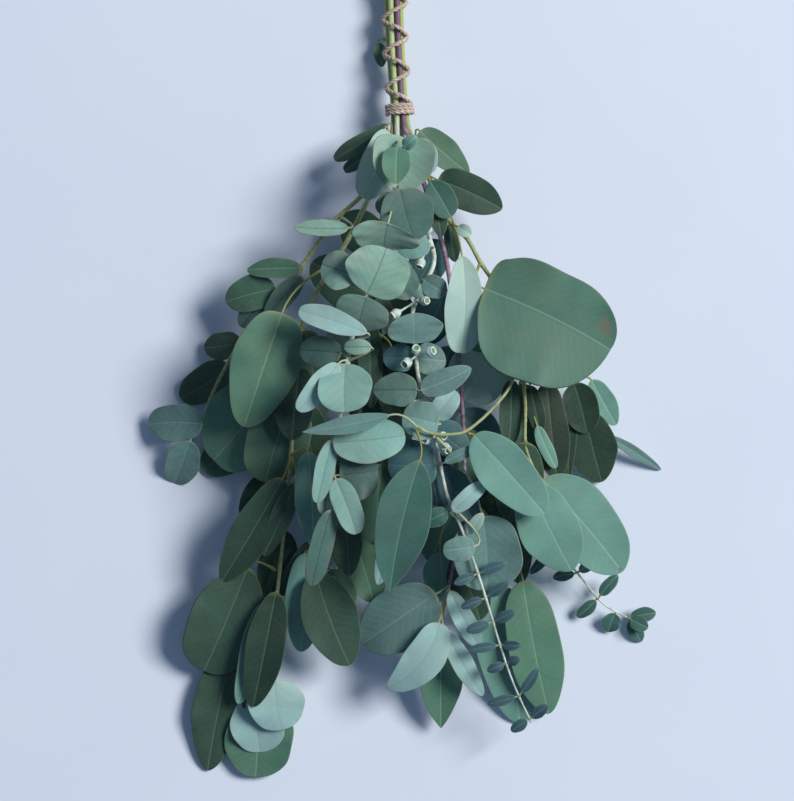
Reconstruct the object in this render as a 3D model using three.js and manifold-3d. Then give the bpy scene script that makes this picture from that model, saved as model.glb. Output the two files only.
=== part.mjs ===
// A tied bunch of mixed eucalyptus with gum nuts, lying on its back.
// Millimetres, +Z up. +Y runs along the bunch towards the cut stem ends.
import * as THREE from 'three';
import Module from 'manifold-3d';

const wasm = await Module();
wasm.setup();
const { Manifold, Mesh } = wasm;

// Driving sizes of the bunch
const MM_PER_PIXEL = 0.7;
const VIEW_HEIGHT = 2000;
const MIDDLE_PIXEL = { x: 406, y: 367 };
const VIEW_PIXEL = { x: 397, y: 400.5 };
const TOUCH_GAP = 0.3;
const LEAF_THICKNESS = 0.7;
const STALK_HALF_WIDTH = 0.8;
const STALK_THICKNESS = 1.4;
const BUD_RADIUS = 1.2;
const BUD_SEAT = BUD_RADIUS * 0.9;
const STEM_RADIUS = 2.1;
const STEM_END_RADIUS = 1.1;
const TWIG_RADIUS = 1.0;
const TWIG_START = 4;
const TWINE_RADIUS = 1.4;
const NUT_RADIUS = 3.4;
const NUT_LENGTH = 7.0;
const LIFT_STEP = 1.5;
const MOST_LIFT = 48;

const RING_OF_SIX = STEM_RADIUS * 2 + TOUCH_GAP;
const BUNDLE_RADIUS = RING_OF_SIX + STEM_RADIUS;
const TWINE_STEPS = 8;
const TWINE_COIL_RADIUS = (BUNDLE_RADIUS + TOUCH_GAP + TWINE_RADIUS) / Math.cos(Math.PI / TWINE_STEPS);

const UP = new THREE.Vector3(0, 0, 1);

// Leaf outlines: how fast the width grows from the foot and falls off to the tip
const ROUND = { grow: 0.5, fall: 0.5 };
const DISC = { grow: 0.4, fall: 0.5 };
const OVAL = { grow: 0.55, fall: 0.65 };
const LANCE = { grow: 0.8, fall: 1.0 };
const HEART = { grow: 0.42, fall: 0.66 };
const EGG = { grow: 0.62, fall: 0.44 };
const BROAD_CUTS = [0, 0.07, 0.25, 0.5, 0.75, 0.93, 1];
const SLIM_CUTS = [0, 0.15, 0.5, 0.85, 1];
const NARROW_CUTS = [0, 0.5, 1];

const FINISHES = {
  deep_green_leaf: { color: '#3f5f50', roughness: 0.55 },
  green_leaf: { color: '#5d8a70', roughness: 0.5 },
  mint_leaf: { color: '#74a890', roughness: 0.5 },
  pale_leaf: { color: '#a5c5b5', roughness: 0.6 },
  grey_leaf: { color: '#7c9c8c', roughness: 0.65 },
  blue_leaf: { color: '#7fa3a6', roughness: 0.65 },
  olive_stem: { color: '#93a263', roughness: 0.6 },
  purple_stem: { color: '#6b4a55', roughness: 0.55 },
  white_stem: { color: '#c9cfc6', roughness: 0.7 },
  gum_nut: { color: '#b9cdc3', roughness: 0.7 },
  jute_twine: { color: '#b9a08c', roughness: 0.95 },
};

// A photo pixel and a height above the surface, as a place in the bunch's frame
function place([x, y, height]) {
  const scale = (MM_PER_PIXEL * (VIEW_HEIGHT - height)) / VIEW_HEIGHT;
  return new THREE.Vector3(
    (x - VIEW_PIXEL.x) * scale + (VIEW_PIXEL.x - MIDDLE_PIXEL.x) * MM_PER_PIXEL,
    -(y - VIEW_PIXEL.y) * scale - (VIEW_PIXEL.y - MIDDLE_PIXEL.y) * MM_PER_PIXEL,
    height,
  );
}

// Closed solid through a row of rings with the same number of points
function loft(rings) {
  const around = rings[0].length;
  const positions = rings.flat().flatMap((p) => p.toArray());
  const index = [];
  for (let i = 0; i < rings.length - 1; i += 1) {
    for (let j = 0; j < around; j += 1) {
      const a = i * around + j;
      const b = i * around + ((j + 1) % around);
      index.push(a, b, a + around, b, b + around, a + around);
    }
  }
  const last = (rings.length - 1) * around;
  for (let j = 1; j < around - 1; j += 1) {
    index.push(0, j + 1, j, last, last + j, last + j + 1);
  }
  const geometry = new THREE.BufferGeometry();
  geometry.setAttribute('position', new THREE.Float32BufferAttribute(positions, 3));
  geometry.setIndex(index);
  return solidOf(geometry);
}

function solidOf(geometry) {
  const points = geometry.attributes.position.array;
  const triVerts = geometry.index
    ? new Uint32Array(geometry.index.array)
    : Uint32Array.from({ length: points.length / 3 }, (_, i) => i);
  const mesh = new Mesh({ numProp: 3, vertProperties: new Float32Array(points), triVerts });
  mesh.merge();
  return new Manifold(mesh);
}

function geometryOf(solid) {
  const mesh = solid.getMesh();
  const geometry = new THREE.BufferGeometry();
  geometry.setAttribute('position', new THREE.Float32BufferAttribute(mesh.vertProperties, 3));
  geometry.setIndex(Array.from(mesh.triVerts));
  geometry.computeVertexNormals();
  return geometry;
}

function joined(solids) {
  return solids.length === 1 ? solids[0] : Manifold.union(solids);
}

// Stems
class Stem {
  constructor(points, thick, thin, steps, sides = 6) {
    this.curve = new THREE.CatmullRomCurve3(points, false, 'centripetal');
    this.thick = thick;
    this.thin = thin;
    this.steps = steps;
    this.sides = sides;
  }

  radius(t) {
    return THREE.MathUtils.lerp(this.thick, this.thin, t);
  }

  solid() {
    const frames = this.curve.computeFrenetFrames(this.steps);
    const rings = [];
    for (let i = 0; i <= this.steps; i += 1) {
      const t = i / this.steps;
      const middle = this.curve.getPointAt(t);
      const ring = [];
      for (let j = 0; j < this.sides; j += 1) {
        const angle = (2 * Math.PI * j) / this.sides;
        const out = frames.normals[i].clone().multiplyScalar(Math.cos(angle));
        out.addScaledVector(frames.binormals[i], Math.sin(angle));
        ring.push(middle.clone().addScaledVector(out, this.radius(t)));
      }
      rings.push(ring);
    }
    return loft(rings);
  }

  // Fraction along the stem that lies nearest a point
  nearest(point) {
    let best = 0;
    let least = Infinity;
    for (let i = 0; i <= 200; i += 1) {
      const gap = this.curve.getPointAt(i / 200).distanceTo(point);
      if (gap < least) {
        least = gap;
        best = i / 200;
      }
    }
    return best;
  }
}

// First two points of a twig that leaves a stem sideways, a touching gap away from it
function sideways(stem, at, toward) {
  const t = stem.nearest(place(at));
  const middle = stem.curve.getPointAt(t);
  const tangent = stem.curve.getTangentAt(t);
  const away = place(toward).sub(middle);
  away.addScaledVector(tangent, -away.dot(tangent)).normalize();
  const seat = stem.radius(t) + TOUCH_GAP;
  return [seat, seat + TWIG_START].map((d) => middle.clone().addScaledVector(away, d));
}

// First two points of a sprig that carries on from the end of a stem
function onward(stem) {
  const tangent = stem.curve.getTangentAt(1);
  return [TOUCH_GAP, TOUCH_GAP + TWIG_START].map((d) => stem.curve.getPointAt(1).addScaledVector(tangent, d));
}

// The bundle's axis, from the cut ends to the band, with each stem in a ring of six
const CUT_END = [393, -45, 9.6];
const LACING_MIDDLE = [395, 40, 17];
const BAND = [400, 116, 25];
const PAST_BAND = [401, 130, 27];

function bundled(slot, onward) {
  const away = slot === 'centre' ? 0 : RING_OF_SIX;
  const angle = THREE.MathUtils.degToRad(slot === 'centre' ? 0 : slot);
  const offset = new THREE.Vector3(Math.cos(angle) * away, 0, Math.sin(angle) * away);
  const tied = [CUT_END, LACING_MIDDLE, BAND].map((p) => place(p).add(offset));
  const loosened = place(PAST_BAND).addScaledVector(offset, 1.25);
  return [...tied, loosened, ...onward.map(place)];
}

const stems = {
  cinerea_stem: new Stem(
    bundled(120, [[397, 150, 45], [394, 195, 66], [388, 223, 76], [367, 295, 86], [357, 320, 87],
      [352, 338, 88], [348, 362, 88], [340, 420, 86], [333, 477, 80], [332, 512, 74]]),
    STEM_RADIUS, STEM_END_RADIUS, 20),
  baby_blue_stem: new Stem(
    bundled('centre', [[405, 165, 36], [414, 200, 46], [430, 240, 58], [434, 262, 62], [413, 310, 68],
      [415, 340, 70], [418, 375, 71], [425, 400, 72], [430, 425, 72], [436, 445, 72], [443, 478, 72],
      [447, 495, 72], [457, 518, 71]]),
    STEM_RADIUS, STEM_END_RADIUS, 22),
  purple_stem: new Stem(
    bundled(60, [[414, 150, 38], [423, 180, 44], [440, 236, 47], [447, 264, 47], [456, 330, 46],
      [462, 400, 42], [464, 480, 40], [456, 550, 38], [446, 600, 36]]),
    STEM_RADIUS, STEM_END_RADIUS, 18),
  right_branch: new Stem(
    bundled(0, [[430, 180, 32], [448, 219, 46], [468, 240, 55], [479, 260, 58], [500, 294, 56],
      [518, 350, 54], [525, 400, 54], [526, 448, 56], [535, 473, 56]]),
    STEM_RADIUS, STEM_END_RADIUS, 18),
  left_branch: new Stem(
    bundled(180, [[380, 165, 36], [362, 195, 42], [333, 222, 44], [300, 268, 42], [270, 298, 36],
      [238, 345, 28], [212, 395, 22], [203, 420, 20]]),
    STEM_RADIUS, STEM_END_RADIUS, 18),
  left_inner_branch: new Stem(
    bundled(240, [[382, 170, 28], [362, 212, 50], [345, 245, 58], [325, 277, 60], [302, 325, 54],
      [295, 400, 46], [290, 470, 42], [282, 550, 38], [276, 610, 34], [276, 668, 28]]),
    STEM_RADIUS, STEM_END_RADIUS, 30),
  middle_branch: new Stem(
    bundled(300, [[396, 200, 24], [382, 300, 36], [362, 400, 44], [346, 480, 46], [328, 545, 46],
      [318, 566, 44]]),
    STEM_RADIUS, STEM_END_RADIUS, 16),
};
const CROSS_TWIG = [[512, 382, 66], [493, 408, 76], [466, 431, 88], [455, 434, 90], [430, 433, 92],
  [416, 426, 94]];
stems.cross_twig = new Stem(
  [...sideways(stems.right_branch, [516, 352, 54], [512, 370, 70]), ...CROSS_TWIG.map(place)],
  TWIG_RADIUS, TWIG_RADIUS, 14);

// Gum nuts: each cluster grows from one foot on the baby blue stem
const NUT_CLUSTERS = {
  gum_nuts_top: { foot: [434, 240, 56], nuts: [[428, 230, 66], [421, 262, 68]] },
  gum_nuts_upper: { foot: [417, 304, 67], nuts: [[424, 301, 77], [397, 313, 74]] },
  gum_nuts_middle: { foot: [417, 356, 70], nuts: [[416, 350, 81], [429, 352, 80], [408, 362, 79]] },
  gum_nuts_lower: { foot: [425, 400, 72], nuts: [[435, 394, 82], [446, 399, 80], [409, 401, 80]] },
  gum_nuts_end: { foot: [434, 440, 72], nuts: [[427, 440, 82], [441, 437, 82], [444, 447, 80]] },
};

// Sprigs whose small leaves grew with the twig as one piece
const SPRIGS = {
  baby_blue_tip: {
    finish: 'blue_leaf',
    start: onward(stems.baby_blue_stem),
    path: [[472, 556, 69], [487, 602, 64], [500, 645, 58], [514, 685, 51], [531, 722, 42]],
    leaves: [
      { foot: [464, 536, 70], tips: [[483, 513, 80]], wide: 9 },
      { foot: [477, 574, 67.6], tips: [[454, 584, 70], [507, 563, 70]], wide: 7 },
      { foot: [485, 598, 64.6], tips: [[461, 608, 66], [509, 581, 70]], wide: 7 },
      { foot: [492, 622, 61.4], tips: [[466, 631, 62], [515, 611, 66]], wide: 8 },
      { foot: [500, 645, 58], tips: [[469, 650, 58], [521, 645, 62]], wide: 7 },
      { foot: [506, 663, 55], tips: [[487, 671, 56], [520, 658, 60]], wide: 7 },
      { foot: [519, 696, 49], tips: [[487, 704, 46], [538, 668, 56]], wide: 7 },
      { foot: [529, 719, 43], tips: [[511, 731, 40], [548, 705, 46]], wide: 8 },
    ],
  },
  right_small_sprig: {
    finish: 'deep_green_leaf',
    start: sideways(stems.right_branch, [529, 458, 56], [540, 480, 40]),
    path: [[546, 505, 38], [563, 552, 22], [583, 580, 16], [605, 605, 12], [632, 620, 8]],
    leaves: [
      { foot: [559, 543, 25], tips: [[530, 574, 18]], wide: 8 },
      { foot: [577, 573, 18], tips: [[553, 578, 10], [597, 559, 22]], wide: 8 },
      { foot: [598, 598, 13], tips: [[618, 575, 18], [577, 617, 7]], wide: 9 },
      { foot: [616, 611, 10.5], tips: [[608, 632, 4]], wide: 13 },
      { foot: [628, 618, 9], tips: [[656, 613, 10], [641, 642, 0.7], [648, 628, 12]], wide: 11 },
    ],
  },
  right_side_spray: {
    finish: 'deep_green_leaf',
    start: sideways(stems.right_branch, [500, 294, 56], [515, 310, 44]),
    path: [[540, 338, 42], [575, 385, 30], [597, 430, 19]],
    leaves: [
      { foot: [572, 376, 36], tips: [[587, 433, 24]], wide: 25 },
      { foot: [588, 374, 30], tips: [[616, 425, 16]], wide: 17 },
      { foot: [582, 402, 27], tips: [[602, 482, 8]], wide: 33 },
      { foot: [578, 389, 29], tips: [[568, 486, 14]], wide: 9 },
      { foot: [597, 430, 19], tips: [[661, 470, 0.7]], wide: 8 },
    ],
  },
};

// Leaves that grew with their stem as one piece, most of them in the dark behind the others
const STEM_LEAVES = {
  left_branch: [
    { foot: [378, 43, 10], tip: [382, 67, 6], wide: 9, at: [388, 42, 17] },
  ],
  left_inner_branch: [
    { foot: [306, 330, 46], tip: [320, 420, 34], wide: 28 },
    { foot: [300, 366, 54], tip: [292, 440, 51], wide: 28 },
    { foot: [300, 400, 38], tip: [318, 482, 30], wide: 30 },
    { foot: [284, 530, 32], tip: [266, 604, 22], wide: 26 },
  ],
  middle_branch: [
    { foot: [384, 252, 26], tip: [342, 216, 16], wide: 30 },
    { foot: [378, 300, 30], tip: [312, 262, 20], wide: 36 },
    { foot: [383, 290, 38], tip: [404, 338, 36], wide: 28 },
    { foot: [374, 314, 30], tip: [326, 374, 22], wide: 36 },
    { foot: [364, 386, 36], tip: [396, 470, 26], wide: 40 },
    { foot: [352, 448, 40], tip: [318, 530, 28], wide: 32 },
    { foot: [340, 500, 38], tip: [374, 602, 24], wide: 36 },
    { foot: [330, 538, 38], tip: [284, 596, 28], wide: 24 },
  ],
  purple_stem: [
    { foot: [440, 240, 40], tip: [415, 292, 34], wide: 26 },
    { foot: [448, 290, 42], tip: [424, 345, 30], wide: 30 },
    { foot: [451, 346, 34], tip: [428, 425, 20], wide: 28 },
    { foot: [460, 412, 26], tip: [496, 456, 12], wide: 30 },
    { foot: [463, 428, 34], tip: [482, 500, 26], wide: 30 },
    { foot: [462, 440, 30], tip: [436, 506, 16], wide: 36 },
    { foot: [466, 478, 22], tip: [512, 536, 12], wide: 34 },
    { foot: [457, 506, 24], tip: [430, 562, 12], wide: 32 },
    { foot: [456, 556, 34], tip: [480, 620, 24], wide: 28 },
  ],
  right_branch: [
    { foot: [450, 224, 42], tip: [455, 262, 40], wide: 11 },
    { foot: [506, 312, 50], tip: [472, 350, 48], wide: 26 },
    { foot: [520, 384, 46], tip: [546, 470, 28], wide: 32 },
    { foot: [526, 442, 48], tip: [508, 520, 34], wide: 32 },
  ],
  baby_blue_stem: [
    { foot: [430, 246, 66], tip: [397, 250, 68], wide: 17 },
    { foot: [424, 280, 70], tip: [446, 294, 72], wide: 16 },
    { foot: [423, 286, 70], tip: [411, 295, 70], wide: 12 },
    { foot: [431, 424, 64], tip: [468, 454, 56], wide: 24 },
    { foot: [441, 468, 64], tip: [474, 520, 56], wide: 26 },
  ],
};

// Leaves from the back of the bunch to the front. foot and tip are the blade's own ends;
// `at` names where on its stem a leaf grows when that isn't the nearest place.
const LEAVES = [
  { node: 'back_leaf', stem: 'middle_branch', finish: 'deep_green_leaf', shape: OVAL,
    blades: [{ foot: [392, 330, 20], tip: [430, 435, 0.7], wide: 46 }] },
  { node: 'back_lower_leaf', stem: 'middle_branch', finish: 'deep_green_leaf', shape: OVAL,
    at: [356, 425, 45], blades: [{ foot: [372, 440, 26], tip: [352, 560, 8], wide: 46 }] },
  { node: 'left_shade_pair', stem: 'left_branch', finish: 'deep_green_leaf', shape: OVAL,
    blades: [{ foot: [242, 343, 22], tip: [204, 348, 8], wide: 20 },
      { foot: [232, 366, 16], tip: [180, 398, 5], wide: 26 }] },
  { node: 'left_end_pair', stem: 'left_branch', finish: 'grey_leaf', shape: ROUND,
    blades: [{ foot: [203, 424, 24], tip: [149, 424, 12], wide: 26, arch: 3 },
      { foot: [190, 441, 20], tip: [174, 483, 0.7], wide: 24 }] },
  { node: 'left_green_pair', stem: 'left_branch', finish: 'green_leaf', shape: OVAL,
    blades: [{ foot: [276, 289, 44], tip: [226, 302, 32], wide: 25, arch: 3 },
      { foot: [262, 302, 42], tip: [241, 327, 30], wide: 16 }] },
  { node: 'left_dark_pair', stem: 'left_branch', finish: 'deep_green_leaf', shape: OVAL,
    blades: [{ foot: [301, 268, 50], tip: [247, 270, 42], wide: 15, roll: 15 },
      { foot: [302, 276, 50], tip: [265, 317, 44], wide: 15 }] },
  { node: 'left_round_leaves', stem: 'left_inner_branch', finish: 'deep_green_leaf', shape: ROUND,
    blades: [{ foot: [278, 380, 30], tip: [214, 460, 12], wide: 56, arch: 5 },
      { foot: [292, 400, 36], tip: [266, 482, 26], wide: 45, arch: 3 },
      { foot: [262, 420, 8], tip: [203, 470, 0.7], wide: 30 },
      { foot: [272, 468, 20], tip: [242, 516, 12], wide: 18 }] },
  { node: 'lower_left_dark_leaf', stem: 'left_inner_branch', finish: 'deep_green_leaf', shape: HEART,
    at: [276, 628, 32], blades: [{ foot: [232, 652, 14], tip: [208, 770, 0.7], wide: 36, arch: 3 }] },
  { node: 'bottom_leaves', stem: 'left_inner_branch', finish: 'blue_leaf', shape: ROUND,
    blades: [{ foot: [264, 700, 8], tip: [256, 776, 0.7], wide: 48 },
      { foot: [256, 696, 16], tip: [260, 752, 10], wide: 38 },
      { foot: [275, 680, 24], tip: [282, 730, 22], wide: 39 }] },
  { node: 'lower_left_round_leaf', stem: 'left_inner_branch', finish: 'deep_green_leaf', shape: EGG,
    at: [280, 572, 37], blades: [{ foot: [248, 567, 32], tip: [204, 671, 14], wide: 50, arch: 4 }] },
  { node: 'lower_left_folded_leaf', stem: 'left_inner_branch', finish: 'green_leaf', shape: OVAL,
    at: [277, 600, 35], blades: [{ foot: [276, 592, 42], tip: [253, 707, 30], wide: 27, fold: 0.3 },
      { foot: [262, 604, 34], tip: [238, 704, 24], wide: 18 }] },
  { node: 'left_lance_leaves', stem: 'left_inner_branch', finish: 'green_leaf', shape: OVAL,
    at: [291, 455, 43], blades: [{ foot: [283, 478, 46], tip: [222, 581, 32], wide: 28, arch: 3 },
      { foot: [295, 483, 50], tip: [264, 556, 42], wide: 15 },
      { foot: [308, 452, 56], tip: [313, 546, 52], wide: 24, arch: 3 }] },
  { node: 'right_lower_leaves', stem: 'purple_stem', finish: 'green_leaf', shape: OVAL,
    at: [463, 495, 40], blades: [{ foot: [494, 584, 22], tip: [520, 723, 0.7], wide: 44, arch: 4 },
      { foot: [523, 581, 30], tip: [549, 714, 14], wide: 38, arch: 5 },
      { foot: [504, 493, 32], tip: [521, 584, 26], wide: 27 },
      { foot: [440, 552, 30], tip: [442, 602, 24], wide: 26 }] },
  { node: 'dark_pointed_leaf', stem: 'purple_stem', finish: 'deep_green_leaf', shape: LANCE,
    at: [446, 599, 36], blades: [{ foot: [441, 632, 28], tip: [441, 728, 12], wide: 30 }] },
  { node: 'curled_leaves', stem: 'purple_stem', finish: 'mint_leaf', shape: OVAL,
    at: [449, 586, 37], blades: [{ foot: [436, 594, 40], tip: [363, 644, 22], wide: 44, arch: 6 },
      { foot: [439, 623, 44], tip: [387, 688, 36], wide: 27, arch: 6 },
      { foot: [445, 630, 44], tip: [483, 696, 36], wide: 15, arch: 3 },
      { foot: [450, 591, 46], tip: [481, 649, 42], wide: 15, arch: 3 }] },
  { node: 'middle_end_leaves', stem: 'middle_branch', finish: 'green_leaf', shape: OVAL,
    at: [318, 566, 44], blades: [{ foot: [305, 553, 40], tip: [300, 652, 26], wide: 27, fold: 0.4 },
      { foot: [316, 573, 46], tip: [350, 665, 34], wide: 38, arch: 4 },
      { foot: [330, 570, 42], tip: [355, 602, 36], wide: 17 }] },
  { node: 'middle_slim_leaves', stem: 'middle_branch', finish: 'deep_green_leaf', shape: OVAL,
    at: [374, 335, 40], blades: [{ foot: [368, 315, 58], tip: [371, 408, 54], wide: 17 },
      { foot: [392, 350, 50], tip: [404, 430, 50], wide: 30 }] },
  { node: 'under_round_leaves', stem: 'right_branch', finish: 'green_leaf', shape: ROUND,
    at: [517, 346, 54], blades: [{ foot: [506, 338, 44], tip: [464, 400, 34], wide: 44 },
      { foot: [547, 383, 44], tip: [557, 478, 36], wide: 24, fold: 0.4 },
      { foot: [511, 380, 50], tip: [509, 446, 48], wide: 16 },
      { foot: [530, 386, 42], tip: [540, 434, 38], wide: 12 },
      { foot: [537, 426, 46], tip: [556, 468, 42], wide: 10 }] },
  { node: 'top_left_leaves', stem: 'left_branch', finish: 'pale_leaf', shape: EGG,
    blades: [{ foot: [385, 129, 44], tip: [361, 197, 52], wide: 24, fold: 0.35 },
      { foot: [388, 124, 38], tip: [334, 159, 28], wide: 13 },
      { foot: [378, 146, 38], tip: [344, 171, 26], wide: 10 }] },
  { node: 'upper_right_leaves', stem: 'right_branch', finish: 'deep_green_leaf', shape: HEART,
    at: [422, 160, 30], blades: [{ foot: [420, 131, 40], tip: [469, 174, 34], wide: 22, roll: -10 },
      { foot: [438, 180, 44], tip: [502, 209, 36], wide: 27, arch: 3 },
      { foot: [436, 204, 56], tip: [441, 237, 54], wide: 12 }] },
  { node: 'left_slim_leaf', stem: 'left_branch', finish: 'grey_leaf', shape: OVAL,
    at: [340, 217, 44], blades: [{ foot: [348, 228, 62], tip: [294, 227, 58], wide: 17, roll: 40 }] },
  { node: 'great_left_leaf', stem: 'left_inner_branch', finish: 'green_leaf', shape: HEART,
    at: [329, 270, 60], blades: [{ foot: [282, 313, 66], tip: [244, 427, 52], wide: 51, arch: 5 }] },
  { node: 'middle_green_pair', stem: 'middle_branch', finish: 'green_leaf', shape: OVAL,
    at: [350, 460, 45], blades: [{ foot: [382, 464, 58], tip: [374, 545, 52], wide: 30 },
      { foot: [344, 508, 60], tip: [349, 576, 54], wide: 20 },
      { foot: [393, 533, 60], tip: [378, 585, 56], wide: 12 }] },
  { node: 'pale_hanging_leaves', stem: 'right_branch', finish: 'pale_leaf', shape: OVAL,
    at: [455, 225, 50], blades: [{ foot: [462, 256, 74], tip: [460, 353, 66], wide: 27, arch: 4 },
      { foot: [458, 227, 58], tip: [471, 235, 60], wide: 9 },
      { foot: [451, 217, 60], tip: [430, 181, 64], wide: 20 }] },
  { node: 'great_round_leaf', stem: 'right_branch', finish: 'green_leaf', shape: DISC,
    at: [481, 264, 58], blades: [{ foot: [484, 289, 70], tip: [610, 350, 58], wide: 82, arch: 6 }] },
  { node: 'green_disc_leaf', stem: 'cross_twig', finish: 'green_leaf', shape: ROUND,
    at: [437, 433, 92], blades: [{ foot: [482, 516, 60], tip: [486, 590, 50], wide: 48 }] },
  { node: 'bright_pair', stem: 'right_branch', finish: 'mint_leaf', shape: OVAL,
    blades: [{ foot: [543, 480, 62], tip: [622, 572, 46], wide: 46, arch: 4 },
      { foot: [529, 485, 68], tip: [572, 571, 56], wide: 41, arch: 4 }] },
  { node: 'bright_upper_leaf', stem: 'cross_twig', finish: 'mint_leaf', shape: OVAL,
    at: [466, 431, 88], blades: [{ foot: [474, 435, 88], tip: [545, 514, 82], wide: 35, arch: 5 }] },
  { node: 'baby_blue_pair_1', stem: 'baby_blue_stem', finish: 'blue_leaf', shape: OVAL,
    at: [413, 328, 68], blades: [{ foot: [414, 343, 80], tip: [413, 313, 90], wide: 38, arch: 1 }] },
  { node: 'baby_blue_pair_2', stem: 'baby_blue_stem', finish: 'blue_leaf', shape: OVAL,
    at: [416, 346, 70], blades: [{ foot: [415, 356, 65], tip: [383, 358, 63], wide: 19 },
      { foot: [413, 358, 67], tip: [446, 361, 65], wide: 22 }] },
  { node: 'baby_blue_pair_3', stem: 'baby_blue_stem', finish: 'grey_leaf', shape: OVAL,
    at: [421, 386, 71], blades: [{ foot: [417, 390, 78], tip: [373, 390, 76], wide: 23 },
      { foot: [421, 390, 80], tip: [471, 368, 78], wide: 17 }] },
  { node: 'baby_blue_pair_4', stem: 'baby_blue_stem', finish: 'blue_leaf', shape: DISC,
    at: [428, 415, 72], blades: [{ foot: [438, 424, 78], tip: [403, 415, 80], wide: 26 },
      { foot: [435, 418, 80], tip: [456, 391, 84], wide: 17 }] },
  { node: 'baby_blue_pair_5', stem: 'baby_blue_stem', finish: 'blue_leaf', shape: DISC,
    at: [440, 464, 72], blades: [{ foot: [436, 464, 74], tip: [388, 465, 66], wide: 34 },
      { foot: [445, 462, 78], tip: [479, 447, 80], wide: 8 }] },
  { node: 'baby_blue_pair_6', stem: 'baby_blue_stem', finish: 'pale_leaf', shape: DISC,
    at: [452, 508, 72], blades: [{ foot: [453, 511, 80], tip: [486, 482, 86], wide: 12 },
      { foot: [474, 546, 78], tip: [443, 550, 80], wide: 17 },
      { foot: [447, 512, 76], tip: [424, 524, 72], wide: 13 }] },
  { node: 'clasping_leaves', stem: 'cinerea_stem', finish: 'grey_leaf', shape: HEART,
    at: [397, 152, 46], blades: [{ foot: [405, 138, 62], tip: [397, 193, 78], wide: 44, cup: 0.25 },
      { foot: [408, 146, 62], tip: [434, 172, 64], wide: 26 },
      { foot: [397, 148, 78], tip: [396, 184, 92], wide: 20 },
      { foot: [404, 147, 76], tip: [417, 136, 80], wide: 9 }] },
  { node: 'cinerea_pair_1', stem: 'cinerea_stem', finish: 'grey_leaf', shape: ROUND,
    at: [390, 215, 73], blades: [{ foot: [400, 189, 78], tip: [415, 241, 74], wide: 37 },
      { foot: [396, 195, 74], tip: [379, 214, 66], wide: 15 },
      { foot: [388, 224, 90], tip: [384, 250, 76], wide: 45, cup: 0.2 }] },
  { node: 'cinerea_pair_2', stem: 'cinerea_stem', finish: 'grey_leaf', shape: ROUND,
    at: [369, 288, 85], blades: [{ foot: [367, 293, 92], tip: [386, 248, 96], wide: 44, arch: 3 },
      { foot: [356, 276, 90], tip: [322, 264, 84], wide: 26 },
      { foot: [384, 289, 88], tip: [413, 268, 84], wide: 32 },
      { foot: [366, 297, 92], tip: [358, 330, 90], wide: 38 }] },
  { node: 'cinerea_pair_3', stem: 'cinerea_stem', finish: 'grey_leaf', shape: ROUND,
    at: [353, 340, 88], blades: [{ foot: [367, 333, 98], tip: [299, 310, 92], wide: 17, roll: 30 }] },
  { node: 'cinerea_pair_4', stem: 'cinerea_stem', finish: 'grey_leaf', shape: ROUND,
    at: [348, 361, 88], blades: [{ foot: [346, 364, 94], tip: [345, 412, 97], wide: 37, arch: 3 },
      { foot: [338, 364, 97], tip: [298, 411, 95], wide: 17, roll: 10 },
      { foot: [341, 353, 90], tip: [300, 350, 80], wide: 21 },
      { foot: [371, 347, 94], tip: [344, 347, 94], wide: 11 }] },
  { node: 'cinerea_pair_5', stem: 'cinerea_stem', finish: 'grey_leaf', shape: ROUND,
    at: [338, 436, 85], blades: [{ foot: [333, 442, 92], tip: [405, 435, 92], wide: 30, arch: 3 },
      { foot: [332, 440, 90], tip: [317, 503, 84], wide: 14, roll: -35 }] },
  { node: 'cinerea_end_leaves', stem: 'cinerea_stem', finish: 'grey_leaf', shape: ROUND,
    at: [334, 474, 80], blades: [{ foot: [340, 475, 85], tip: [378, 470, 84], wide: 37 },
      { foot: [336, 479, 86], tip: [357, 534, 84], wide: 19 },
      { foot: [331, 510, 84], tip: [312, 586, 68], wide: 18, roll: -45 },
      { foot: [329, 487, 80], tip: [325, 515, 73], wide: 12 }] },
  { node: 'front_lance_leaf', stem: 'cross_twig', finish: 'deep_green_leaf', shape: LANCE,
    at: [418, 427, 94], blades: [{ foot: [420, 460, 96], tip: [390, 592, 84], wide: 37, arch: 4 }] },
  { node: 'blue_lance_leaf', stem: 'cross_twig', finish: 'blue_leaf', shape: LANCE,
    at: [417, 426, 94], blades: [{ foot: [390, 415, 104], tip: [302, 432, 98], wide: 13, roll: 20 }] },
];

// Width of a blade at a fraction of its length, as a share of its full width
function outline({ grow, fall }, s) {
  const peak = grow / (grow + fall);
  const most = peak ** grow * (1 - peak) ** fall;
  return (s ** grow * (1 - s) ** fall) / most;
}

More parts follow.
